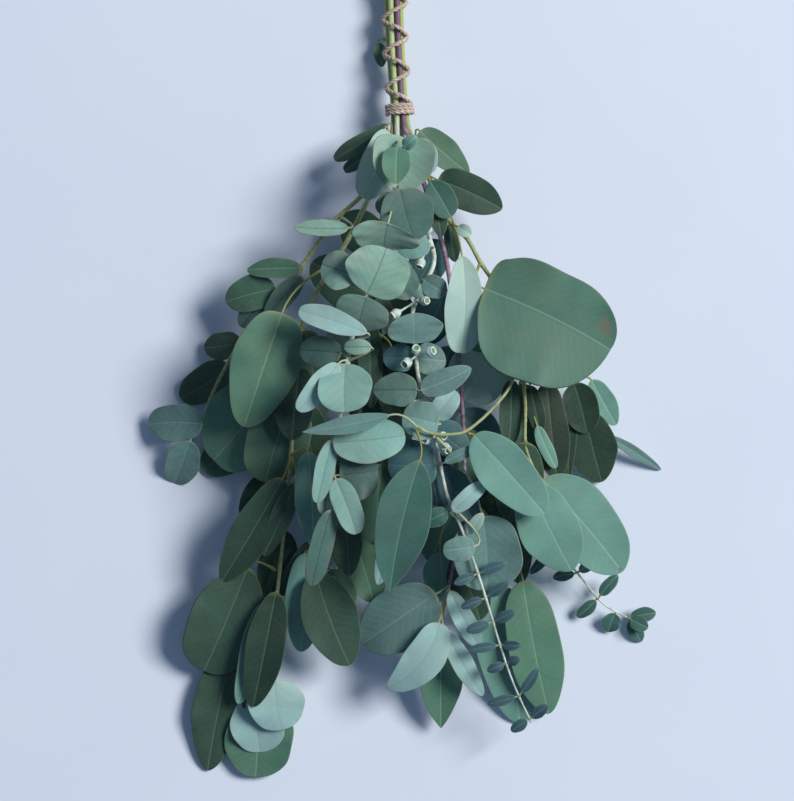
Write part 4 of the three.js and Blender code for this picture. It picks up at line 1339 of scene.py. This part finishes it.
@dataclass(frozen=True)
class GumNut:
    """One gum nut: a four-sided cup with a lip and a sunken disc.

    The profile gives radius and height in millimetres from the foot, over the lip, to the disc.
    """

    around: int = 20
    ribs: int = 4
    rib_height: float = 0.035
    profile: tuple[Pair, ...] = (
        (0.9, 0.0), (1.5, 0.35), (2.3, 1.2), (3.0, 2.3), (3.35, 3.6), (3.2, 4.7), (2.8, 5.6), (2.6, 6.2),
        (2.75, 6.6), (2.75, 6.9), (2.5, 7.05), (2.15, 6.9), (1.9, 6.3), (1.2, 6.1), (0.35, 6.3))

    def build(self) -> bpy.types.Object:
        """Make a nut that stands on its foot at the origin.

        Returns:
            An object for the cluster tree to copy, not yet a piece.
        """
        angle = 2 * np.pi * np.arange(self.around) / self.around
        rows = np.array(self.profile)
        radius = rows[:, :1] * (1 + self.rib_height * np.cos(self.ribs * angle))
        height = np.broadcast_to(rows[:, 1:], radius.shape)
        points = np.stack((radius * np.cos(angle), radius * np.sin(angle), height), -1).reshape(-1, 3)
        mesh = bpy.data.meshes.new("gum_nut")
        mesh.from_pydata((points * MM).tolist(), [], ring_faces(len(rows), self.around))
        widest = rows[:, 0].max()
        cup = np.stack((height / NUT_LENGTH, radius / widest, np.zeros_like(radius)), -1)
        store(mesh, "cup", cup.reshape(-1, 3), "FLOAT_VECTOR")
        nut = bpy.data.objects.new("gum_nut", mesh)
        bpy.context.collection.objects.link(nut)
        return nut


# The bundle's axis, from the cut ends to the band, and where and how much the stems part below it
CUT_END: Spot = (393, -45, 9.6)
LACING_MIDDLE: Spot = (395, 40, 17)
BAND: Spot = (400, 116, 25)
PAST_BAND: Spot = (401, 130, 27)
LOOSENED = 1.25


def bundled(slot: float | None, spots: Sequence[Spot]) -> list[np.ndarray]:
    """Lead a stem through the bundle to its own way.

    Args:
        slot: Angle in the ring of six around the middle stem, or None for that middle stem.
        spots: Spots that the stem goes on through.

    Returns:
        The points of the whole stem.
    """
    angle = math.radians(slot or 0.0)
    offset = np.array((math.cos(angle), 0.0, math.sin(angle))) * (0.0 if slot is None else RING_OF_SIX)
    tied = [VIEW.place(spot) + offset for spot in (CUT_END, LACING_MIDDLE, BAND)]
    return [*tied, VIEW.place(PAST_BAND) + LOOSENED * offset, *(VIEW.place(spot) for spot in spots)]


@dataclass(frozen=True)
class Coil:
    """Turns of twine along the bundle's axis.

    start and end are shares of the axis, turns below zero wind the other way, phase is the angle of
    the start, over lifts it where it crosses another coil, and proud stands it off the stems.
    """

    start: float
    end: float
    turns: float
    phase: float
    over: float = 0.0
    proud: float = 0.0


@dataclass
class Twine:
    """Jute twine: two crossing coils up the bundle and a band of close turns below them."""

    node: str = "jute_twine"
    coils: tuple[Coil, ...] = (
        Coil(0.1, 0.95, 4, 0.4),
        Coil(0.1, 0.95, -4, 5.7, over=2.4, proud=0.1),
        Coil(0.935, 0.99, 2.5, 0.4, proud=1.0),
    )
    steps_per_turn: int = 72
    crossing_angle: float = 1.5
    crossing_sharpness: int = 12
    strand_radius: float = 0.78
    spin_radius: float = 0.68
    spin_length: float = 11.0
    fibre_length: float = 2.2
    fibre_radius: float = 0.07
    fibres_per_square_metre: float = 60000.0
    seed: int = 4

    def wind(self, coil: Coil) -> np.ndarray:
        """Give the points of one coil in millimetres."""
        axis = Path([VIEW.place(spot) for spot in (CUT_END, LACING_MIDDLE, BAND)])
        share = np.linspace(0.0, 1.0, int(abs(coil.turns) * self.steps_per_turn) + 1)
        angle = coil.phase + 2 * np.pi * coil.turns * share
        crossing = np.cos(angle - self.crossing_angle) ** self.crossing_sharpness
        radius = BUNDLE_RADIUS + TWINE_RADIUS + coil.proud + coil.over * crossing
        out = np.stack((np.cos(angle), np.zeros_like(angle), np.sin(angle)), -1)
        points = axis.at(coil.start + (coil.end - coil.start) * share) + out * radius[:, None]
        points[:, 2] = np.maximum(points[:, 2], TWINE_RADIUS)
        return points

    def build(self, growth: GrowthTree) -> None:
        """Make the twine one piece."""
        mesh = growth.grow(
            path_mesh([self.wind(coil) for coil in self.coils]),
            Strand_Radius=self.strand_radius * MM, Spin_Radius=self.spin_radius * MM,
            Spin_Length=self.spin_length * MM, Fibre_Length=self.fibre_length * MM,
            Fibre_Radius=self.fibre_radius * MM, Fibres=self.fibres_per_square_metre, Seed=self.seed,
            Finish=JUTE.material())
        add_piece(self.node, mesh)


@dataclass
class Studio:
    """Plain pale surface, soft window-like light from the right, and the camera above.

    Sizes are metres, except the camera's sensor, which is in millimetres.
    """

    surface_size: float = 8.0
    sensor: float = 36.0
    sight: float = 100.0
    key_spot: Spot = (4.3, 1.9, 5.1)
    key_size: float = 2.6
    key_power: float = 540.0
    key_colour: str = "#fefffb"
    sky_colour: str = "#a9c6f0"
    sky_strength: float = 0.27

    def build(self) -> None:
        """Set up the surface, the light and the camera."""
        scene = bpy.context.scene
        scene.view_settings.view_transform = "Standard"
        half = self.surface_size / 2
        mesh = bpy.data.meshes.new("surface")
        corners = [(x * half, y * half, 0.0) for x, y in ((-1, -1), (1, -1), (1, 1), (-1, 1))]
        mesh.from_pydata(corners, [], [(0, 1, 2, 3)])
        mesh.materials.append(SurfaceFinish().material())
        surface = bpy.data.objects.new("surface", mesh)
        scene.collection.objects.link(surface)

        lamp = bpy.data.lights.new("window", "AREA")
        lamp.size = self.key_size
        lamp.energy = self.key_power
        lamp.color = linear(self.key_colour)[:3]
        key = bpy.data.objects.new("window", lamp)
        key.location = self.key_spot
        x, y, z = self.key_spot
        key.rotation_euler = (math.acos(z / math.hypot(x, y, z)), 0.0, math.atan2(y, x) + math.pi / 2)
        scene.collection.objects.link(key)

        scene.world = scene.world or bpy.data.worlds.new("sky")
        scene.world.use_nodes = True
        tree = scene.world.node_tree
        tree.nodes.clear()
        sky = add_node(tree, "ShaderNodeBackground", inputs={
            "Color": self.sky_colour, "Strength": self.sky_strength})
        add_node(tree, "ShaderNodeOutputWorld", inputs={"Surface": sky})

        lens = bpy.data.cameras.new("camera")
        lens.sensor_fit = "VERTICAL"
        lens.sensor_height = self.sensor
        lens.lens = self.sensor * VIEW.height / (VIEW.image_rows * VIEW.mm_per_pixel)
        lens.clip_end = self.sight
        camera = bpy.data.objects.new("camera", lens)
        camera.location = VIEW.camera_spot * MM
        scene.collection.objects.link(camera)
        scene.camera = camera


# Each tied stem's bark, its angle in the ring of six around the middle stem, and its way from there
STEM_WAYS = (
    ("cinerea_stem", WHITE_BARK, 120, (
        (397, 150, 45), (394, 195, 66), (388, 223, 76), (367, 295, 86), (357, 320, 87), (352, 338, 88),
        (348, 362, 88), (340, 420, 86), (333, 477, 80), (332, 512, 74))),
    ("baby_blue_stem", WHITE_BARK, None, (
        (405, 165, 36), (414, 200, 46), (430, 240, 58), (434, 262, 62), (413, 310, 68), (415, 340, 70),
        (418, 375, 71), (425, 400, 72), (430, 425, 72), (436, 445, 72), (443, 478, 72), (447, 495, 72),
        (457, 518, 71))),
    ("purple_stem", PURPLE_BARK, 60, (
        (414, 150, 38), (423, 180, 44), (440, 236, 47), (447, 264, 47), (456, 330, 46), (462, 400, 42),
        (464, 480, 40), (456, 550, 38), (446, 600, 36))),
    ("right_branch", OLIVE_BARK, 0, (
        (430, 180, 32), (448, 219, 46), (468, 240, 55), (479, 260, 58), (500, 294, 56), (518, 350, 54),
        (525, 400, 54), (526, 448, 56), (535, 473, 56))),
    ("left_branch", OLIVE_BARK, 180, (
        (380, 165, 36), (362, 195, 42), (333, 222, 44), (300, 268, 42), (270, 298, 36), (238, 345, 28),
        (212, 395, 22), (203, 420, 20))),
    ("left_inner_branch", OLIVE_BARK, 240, (
        (382, 170, 28), (362, 212, 50), (345, 245, 58), (325, 277, 60), (302, 325, 54), (295, 400, 46),
        (290, 470, 42), (282, 550, 38), (276, 610, 34), (276, 668, 28))),
    ("middle_branch", OLIVE_BARK, 300, (
        (396, 200, 24), (382, 300, 36), (362, 400, 44), (346, 480, 46), (328, 545, 46), (318, 566, 44))),
)
CROSS_TWIG_WAY = (
    (512, 382, 66), (493, 408, 76), (466, 431, 88), (455, 434, 90), (430, 433, 92), (416, 426, 94))


def tied_stems() -> dict[str, Stem]:
    """Lead each stem through the bundle along its way.

    Returns:
        The stems by name, with the twig that crosses the front.
    """
    stems = {name: Stem(name, bark, bundled(slot, spots)) for name, bark, slot, spots in STEM_WAYS}
    start = stems["right_branch"].sideways((516, 352, 54), (512, 370, 70))
    points = [*start, *(VIEW.place(spot) for spot in CROSS_TWIG_WAY)]
    stems["cross_twig"] = Stem("cross_twig", OLIVE_BARK, points, TWIG_RADIUS, TWIG_RADIUS)
    return stems


def side_sprigs(stems: dict[str, Stem]) -> list[Sprig]:
    """List the sprigs whose small leaves grew with the twig.

    Args:
        stems: Stems by name.

    Returns:
        The sprigs.
    """
    right = stems["right_branch"]
    return [
        Sprig("baby_blue_tip", STEEL, WHITE_BARK, stems["baby_blue_stem"].onward(),
              ((472, 556, 69), (487, 602, 64), (500, 645, 58), (514, 685, 51), (531, 722, 42)), (
                  Leaflets((464, 536, 70), ((483, 513, 80),), 9, PALE),
                  Leaflets((477, 574, 67.6), ((454, 584, 70), (507, 563, 70)), 7),
                  Leaflets((485, 598, 64.6), ((461, 608, 66), (509, 581, 70)), 7),
                  Leaflets((492, 622, 61.4), ((466, 631, 62), (515, 611, 66)), 8),
                  Leaflets((500, 645, 58), ((469, 650, 58), (521, 645, 62)), 7),
                  Leaflets((506, 663, 55), ((487, 671, 56), (520, 658, 60)), 7),
                  Leaflets((519, 696, 49), ((487, 704, 46), (538, 668, 56)), 7),
                  Leaflets((529, 719, 43), ((511, 731, 40), (548, 705, 46)), 8))),
        Sprig("right_small_sprig", TEAL, WHITE_BARK, right.sideways((529, 458, 56), (540, 480, 40)),
              ((546, 505, 38), (563, 552, 22), (583, 580, 16), (605, 605, 12), (632, 620, 8)), (
                  Leaflets((559, 543, 25), ((530, 574, 18),), 8),
                  Leaflets((577, 573, 18), ((553, 578, 10), (597, 559, 22)), 8),
                  Leaflets((598, 598, 13), ((618, 575, 18), (577, 617, 7)), 9),
                  Leaflets((616, 611, 10.5), ((608, 632, 4),), 13),
                  Leaflets((628, 618, 9), ((656, 613, 10), (641, 642, 0.7), (648, 628, 12)), 11))),
        Sprig("right_side_spray", SHADE, OLIVE_BARK, right.sideways((500, 294, 56), (515, 310, 44)),
              ((540, 338, 42), (575, 385, 30), (597, 430, 19)), (
                  Leaflets((572, 376, 36), ((587, 433, 24),), 25),
                  Leaflets((588, 374, 30), ((616, 425, 16),), 17, MINT),
                  Leaflets((582, 402, 27), ((602, 482, 8),), 33),
                  Leaflets((578, 389, 29), ((568, 486, 14),), 9),
                  Leaflets((597, 430, 19), ((661, 470, 0.7),), 8, BLUE))),
    ]


NUT_CLUSTERS = (
    NutCluster("gum_nuts_top", (434, 240, 56), ((428, 230, 66), (421, 262, 68))),
    NutCluster("gum_nuts_upper", (417, 304, 67), ((424, 301, 77), (397, 313, 74))),
    NutCluster("gum_nuts_middle", (417, 356, 70), ((416, 350, 81), (429, 352, 80), (408, 362, 79))),
    NutCluster("gum_nuts_lower", (425, 400, 72), ((435, 394, 82), (446, 399, 80), (409, 401, 80))),
    NutCluster("gum_nuts_end", (434, 440, 72), ((427, 440, 82), (441, 437, 82), (444, 447, 80))),
)

# Leaves that grew with their stem, most of them in the dark behind the others
STEM_LEAVES = {
    "left_branch": (
        Blade((378, 43, 10), (382, 67, 6), 9, finish=MOSS),
    ),
    "left_inner_branch": (
        Blade((306, 330, 46), (320, 420, 34), 28),
        Blade((300, 366, 54), (292, 440, 51), 28),
        Blade((300, 400, 38), (318, 482, 30), 30),
        Blade((284, 530, 32), (266, 604, 22), 26),
    ),
    "middle_branch": (
        Blade((384, 252, 26), (342, 216, 16), 30),
        Blade((378, 300, 30), (312, 262, 20), 36),
        Blade((383, 290, 38), (404, 338, 36), 28),
        Blade((374, 314, 30), (326, 374, 22), 36, finish=SHADED_GREY),
        Blade((364, 386, 36), (396, 470, 26), 40),
        Blade((352, 448, 40), (318, 530, 28), 32),
        Blade((340, 500, 38), (374, 602, 24), 36, finish=MOSS),
        Blade((330, 538, 38), (284, 596, 28), 24),
    ),
    "purple_stem": (
        Blade((440, 240, 40), (415, 292, 34), 26, finish=SLATE),
        Blade((448, 290, 42), (424, 345, 30), 30, finish=SLATE),
        Blade((451, 346, 34), (428, 425, 20), 28, finish=SLATE),
        Blade((460, 412, 26), (496, 456, 12), 30, finish=SLATE),
        Blade((463, 428, 34), (482, 500, 26), 30),
        Blade((462, 440, 30), (436, 506, 16), 36, finish=SLATE),
        Blade((466, 478, 22), (512, 536, 12), 34),
        Blade((457, 506, 24), (430, 562, 12), 32, finish=TEAL),
        Blade((456, 556, 34), (480, 620, 24), 28),
    ),
    "right_branch": (
        Blade((450, 224, 42), (455, 262, 40), 11),
        Blade((506, 312, 50), (472, 350, 48), 26, finish=MOSS),
        Blade((520, 384, 46), (546, 470, 28), 32, finish=MOSS),
        Blade((526, 442, 48), (508, 520, 34), 32),
    ),
    "baby_blue_stem": (
        Blade((430, 246, 66), (397, 250, 68), 17, finish=BLUE),
        Blade((424, 280, 70), (446, 294, 72), 16, finish=BLUE),
        Blade((423, 286, 70), (411, 295, 70), 12, finish=BLUE),
        Blade((431, 424, 64), (468, 454, 56), 24, finish=SLATE),
        Blade((441, 468, 64), (474, 520, 56), 26, finish=SLATE),
    ),
}

# Leaves from the back of the bunch to the front
LEAF_GROUPS = (
    LeafGroup("back_leaf", "middle_branch", DEEP, OVAL, (
        Blade((392, 330, 20), (430, 435, 0.7), 46),)),
    LeafGroup("back_lower_leaf", "middle_branch", DEEP, OVAL, (
        Blade((372, 440, 26), (352, 560, 8), 46),), (356, 425, 45)),
    LeafGroup("left_shade_pair", "left_branch", DEEP, OVAL, (
        Blade((242, 343, 22), (204, 348, 8), 20),
        Blade((232, 366, 16), (180, 398, 5), 26))),
    LeafGroup("left_end_pair", "left_branch", GREY, ROUND, (
        Blade((203, 424, 24), (149, 424, 12), 26, arch=3, finish=BLUE),
        Blade((190, 441, 20), (174, 483, 0.7), 24, finish=BLUE))),
    LeafGroup("left_green_pair", "left_branch", GREEN, OVAL, (
        Blade((276, 289, 44), (226, 302, 32), 25, arch=3, finish=MOSS),
        Blade((262, 302, 42), (241, 327, 30), 16, finish=SHADED_GREY))),
    LeafGroup("left_dark_pair", "left_branch", DEEP, OVAL, (
        Blade((301, 268, 50), (247, 270, 42), 15, roll=15, finish=MOSS),
        Blade((302, 276, 50), (265, 317, 44), 15, finish=SHADED_GREY))),
    LeafGroup("left_round_leaves", "left_inner_branch", DEEP, ROUND, (
        # The next three leaves get finishes paler than their own deep green: painted light, as they lie in
        # shadow
        Blade((278, 380, 30), (214, 460, 12), 56, arch=5, finish=GREEN),
        Blade((292, 400, 36), (266, 482, 26), 45, arch=3, finish=MOSS),
        Blade((262, 420, 8), (203, 470, 0.7), 30, finish=MOSS),
        Blade((272, 468, 20), (242, 516, 12), 18))),
    LeafGroup("lower_left_dark_leaf", "left_inner_branch", DEEP, HEART, (
        Blade((232, 652, 14), (208, 770, 0.7), 36, arch=3),), (276, 628, 32)),
    LeafGroup("bottom_leaves", "left_inner_branch", BLUE, ROUND, (
        Blade((264, 700, 8), (256, 776, 0.7), 48, finish=GREEN),
        Blade((256, 696, 16), (260, 752, 10), 38, finish=FROST),
        Blade((275, 680, 24), (282, 730, 22), 39, finish=FROST))),
    LeafGroup("lower_left_round_leaf", "left_inner_branch", DEEP, EGG, (
        Blade((248, 567, 32), (204, 671, 14), 50, arch=4),), (280, 572, 37)),
    LeafGroup("lower_left_folded_leaf", "left_inner_branch", GREEN, OVAL, (
        Blade((276, 592, 42), (253, 707, 30), 27, fold=0.1, finish=SHADE),
        # Mint finish on the next leaf, paler than its own green: painted light, as it lies in shadow
        Blade((262, 604, 34), (238, 704, 24), 18, finish=MINT)), (277, 600, 35)),
    LeafGroup("left_lance_leaves", "left_inner_branch", GREEN, OVAL, (
        Blade((283, 478, 46), (222, 581, 32), 28, arch=3, finish=SHADE),
        Blade((295, 483, 50), (264, 556, 42), 15, finish=DEEP),
        # Mint finish on the next leaf, paler than its own dark teal: painted light, as it lies in shadow
        Blade((308, 452, 56), (313, 546, 52), 24, arch=3, finish=MINT)), (291, 455, 43)),
    LeafGroup("right_lower_leaves", "purple_stem", GREEN, OVAL, (
        Blade((494, 584, 22), (520, 723, 0.7), 44, arch=4, finish=MINT),
        Blade((523, 581, 30), (549, 714, 14), 38, arch=5),
        Blade((504, 493, 32), (521, 584, 26), 27, finish=DEEP),
        Blade((440, 552, 30), (442, 602, 24), 26, finish=MINT)), (463, 495, 40)),
    LeafGroup("dark_pointed_leaf", "purple_stem", DEEP, LANCE, (
        Blade((441, 632, 28), (441, 728, 12), 30, finish=GREEN),), (446, 599, 36)),
    LeafGroup("curled_leaves", "purple_stem", MINT, OVAL, (
        Blade((436, 594, 40), (363, 644, 22), 44, arch=6, finish=BLUE),
        Blade((439, 623, 44), (387, 688, 36), 27, arch=6, bow=0.1, shape=HEART, finish=FROST),
        Blade((445, 630, 44), (483, 696, 36), 15, arch=3, finish=FROST),
        Blade((450, 591, 46), (481, 649, 42), 15, arch=3, finish=FROST)), (449, 586, 37)),
    LeafGroup("middle_end_leaves", "middle_branch", GREEN, OVAL, (
        # Mint finish on the next leaf, paler than its own green: painted light, as it lies in shadow
        Blade((305, 553, 40), (300, 652, 26), 27, fold=0.1, finish=MINT),
        Blade((316, 573, 46), (350, 665, 34), 38, arch=4, finish=DEEP),
        Blade((330, 570, 42), (355, 602, 36), 17, finish=MOSS)), (318, 566, 44)),
    LeafGroup("middle_slim_leaves", "middle_branch", DEEP, OVAL, (
        Blade((368, 315, 58), (371, 408, 54), 17),
        Blade((392, 350, 50), (404, 430, 50), 30)), (374, 335, 40)),
    LeafGroup("under_round_leaves", "right_branch", GREEN, ROUND, (
        # Pale finish on the next leaf, paler than its own mid green: painted light, as it lies in the
        # shadow of the great round leaf
        Blade((506, 338, 44), (464, 400, 34), 44, finish=PALE),
        Blade((547, 383, 44), (557, 478, 36), 24, fold=0.1, finish=BROWN),
        Blade((511, 380, 50), (509, 446, 48), 16, finish=DEEP),
        Blade((530, 386, 42), (540, 434, 38), 12, finish=SHADE),
        Blade((537, 426, 46), (556, 468, 42), 10, finish=MINT)), (517, 346, 54)),
    LeafGroup("top_left_leaves", "left_branch", PALE, EGG, (
        Blade((385, 129, 44), (361, 197, 52), 27, roll=-22, fold=0.03, bow=0.04),
        Blade((388, 124, 38), (334, 159, 28), 13, finish=DEEP),
        Blade((378, 146, 38), (344, 171, 26), 10, finish=DEEP))),
    LeafGroup("upper_right_leaves", "right_branch", DEEP, HEART, (
        Blade((420, 131, 40), (469, 174, 34), 22, roll=-10, finish=MOSS),
        Blade((438, 180, 44), (502, 209, 36), 27, arch=3, finish=SHADE),
        Blade((436, 204, 56), (441, 237, 54), 12)), (422, 160, 30)),
    LeafGroup("left_slim_leaf", "left_branch", GREY, OVAL, (
        Blade((348, 228, 62), (294, 227, 58), 17, roll=40),), (340, 217, 44)),
    LeafGroup("great_left_leaf", "left_inner_branch", GREEN, HEART, (
        Blade((282, 313, 66), (244, 427, 52), 46, arch=5, roll=-7, bow=0.03,
              scar=(0.98, 0.1, 3.0)),), (329, 270, 60)),
    LeafGroup("middle_green_pair", "middle_branch", GREEN, OVAL, (
        Blade((382, 464, 58), (374, 545, 52), 30, finish=MOSS),
        Blade((344, 508, 60), (349, 576, 54), 20, finish=DEEP),
        Blade((393, 533, 60), (378, 585, 56), 12, finish=FROST)), (350, 460, 45)),
    LeafGroup("pale_hanging_leaves", "right_branch", PALE, OVAL, (
        Blade((462, 256, 74), (460, 353, 66), 27, arch=4, roll=-8, bow=0.06, shape=EGG),
        Blade((458, 227, 58), (471, 235, 60), 9),
        Blade((451, 217, 60), (430, 181, 64), 20, finish=TEAL)), (455, 225, 50)),
    LeafGroup("great_round_leaf", "right_branch", GREEN, DISC, (
        Blade((484, 289, 70), (610, 350, 58), 82, arch=6, skew=-0.19, finish=FERN,
              scar=(0.87, 0.55, 9.0)),), (481, 264, 58)),
    LeafGroup("green_disc_leaf", "cross_twig", GREEN, ROUND, (
        Blade((482, 516, 60), (486, 590, 50), 48, finish=BLUE),), (437, 433, 92)),
    LeafGroup("bright_pair", "right_branch", MINT, OVAL, (
        Blade((543, 480, 62), (622, 572, 46), 46, arch=4, scar=(0.97, 0.0, 2.0)),
        Blade((529, 485, 68), (572, 571, 56), 41, arch=4))),
    LeafGroup("bright_upper_leaf", "cross_twig", MINT, OVAL, (
        Blade((474, 435, 88), (545, 514, 82), 35, arch=5),), (466, 431, 88)),
    LeafGroup("baby_blue_pair_1", "baby_blue_stem", BLUE, OVAL, (
        Blade((414, 343, 80), (413, 313, 90), 38, arch=1),), (413, 328, 68)),
    LeafGroup("baby_blue_pair_2", "baby_blue_stem", BLUE, OVAL, (
        Blade((415, 356, 65), (383, 358, 63), 19, finish=SLATE),
        Blade((413, 358, 67), (446, 361, 65), 22)), (416, 346, 70)),
    LeafGroup("baby_blue_pair_3", "baby_blue_stem", GREY, HEART, (
        Blade((417, 390, 78), (373, 390, 76), 23, finish=SHADED_GREY),
        Blade((421, 390, 80), (471, 368, 78), 17, finish=BLUE)), (421, 386, 71)),
    LeafGroup("baby_blue_pair_4", "baby_blue_stem", BLUE, DISC, (
        Blade((438, 424, 78), (403, 415, 80), 26),
        Blade((435, 418, 80), (456, 391, 84), 17, finish=FROST)), (428, 415, 72)),
    LeafGroup("baby_blue_pair_5", "baby_blue_stem", BLUE, DISC, (
        Blade((436, 464, 74), (388, 465, 66), 34, finish=SLATE),
        Blade((445, 462, 78), (479, 447, 80), 8)), (440, 464, 72)),
    LeafGroup("baby_blue_pair_6", "baby_blue_stem", PALE, DISC, (
        Blade((453, 511, 80), (486, 482, 86), 12, finish=FROST),
        Blade((474, 546, 78), (443, 550, 80), 17, finish=BLUE),
        Blade((447, 512, 76), (424, 524, 72), 13, finish=TEAL)), (452, 508, 72)),
    LeafGroup("clasping_leaves", "cinerea_stem", GREY, HEART, (
        Blade((405, 138, 62), (397, 193, 78), 44, cup=0.25),
        Blade((408, 146, 62), (434, 172, 64), 26, finish=FROST),
        Blade((397, 148, 78), (396, 184, 92), 20, finish=GREEN),
        Blade((404, 147, 76), (417, 136, 80), 9, finish=MINT)), (397, 152, 46)),
    LeafGroup("cinerea_pair_1", "cinerea_stem", GREY, ROUND, (
        Blade((400, 189, 78), (415, 241, 74), 37, finish=SHADED_GREY),
        Blade((396, 195, 74), (379, 214, 66), 15, finish=SHADED_GREY),
        Blade((388, 224, 90), (384, 250, 76), 45, cup=0.2)), (390, 215, 73)),
    LeafGroup("cinerea_pair_2", "cinerea_stem", GREY, ROUND, (
        Blade((367, 293, 92), (386, 248, 96), 44, arch=3),
        Blade((356, 276, 90), (322, 264, 84), 26),
        Blade((384, 289, 88), (413, 268, 84), 32, finish=SHADED_GREY),
        Blade((366, 297, 92), (358, 330, 90), 38, finish=SHADED_GREY)), (369, 288, 85)),
    LeafGroup("cinerea_pair_3", "cinerea_stem", GREY, ROUND, (
        Blade((367, 333, 98), (299, 310, 92), 17, roll=12, shape=EGG, finish=FROST),),
              (353, 340, 88)),
    LeafGroup("cinerea_pair_4", "cinerea_stem", GREY, ROUND, (
        Blade((346, 364, 94), (345, 412, 97), 37, arch=3, finish=SAGE),
        Blade((338, 364, 97), (298, 411, 95), 17, roll=-12, finish=FROST),
        Blade((341, 353, 90), (300, 350, 80), 21, finish=SHADED_GREY),
        Blade((371, 347, 94), (344, 347, 94), 11)), (348, 361, 88)),
    LeafGroup("cinerea_pair_5", "cinerea_stem", GREY, ROUND, (
        Blade((333, 442, 92), (405, 435, 92), 30, arch=3, finish=SAGE),
        Blade((332, 440, 90), (317, 503, 84), 14, roll=-15, finish=SAGE)), (338, 436, 85)),
    LeafGroup("cinerea_end_leaves", "cinerea_stem", GREY, ROUND, (
        Blade((340, 475, 85), (378, 470, 84), 37, finish=SHADED_GREY),
        Blade((336, 479, 86), (357, 534, 84), 19, finish=SAGE),
        Blade((331, 510, 84), (312, 586, 68), 18, roll=-25, finish=SHADED_GREY),
        Blade((329, 487, 80), (325, 515, 73), 12)), (334, 474, 80)),
    LeafGroup("front_lance_leaf", "cross_twig", DEEP, LANCE, (
        Blade((420, 460, 96), (390, 592, 84), 37, arch=4, finish=TEAL),), (418, 427, 94)),
    LeafGroup("blue_lance_leaf", "cross_twig", BLUE, LANCE, (
        Blade((390, 415, 104), (302, 432, 98), 13, roll=20),), (417, 426, 94)),
)


def main() -> None:
    """Build the studio and then the bunch, from the stems to the front leaves."""
    logging.basicConfig(level=logging.INFO, format="%(message)s")
    Studio().build()
    stems = tied_stems()
    sweeping = stem_tree()
    maker = LeafMaker(seed=11)
    for group in LEAF_GROUPS:
        stem = stems[group.stem]
        stem.joints.append(group.joint(stem))
    for stem in stems.values():
        stem.build(sweeping)
    Twine().build(twine_tree())
    nut = GumNut().build()
    setting = nut_tree()
    for cluster in NUT_CLUSTERS:
        cluster.build(stems["baby_blue_stem"], setting, nut)
    bpy.data.objects.remove(nut)
    for sprig in side_sprigs(stems):
        sprig.build(sweeping, maker)
    for node, blades in STEM_LEAVES.items():
        grow_on_stem(stems[node], blades, maker)
    for group in LEAF_GROUPS:
        group.build(stems[group.stem], maker)


if __name__ == "__main__":
    main()
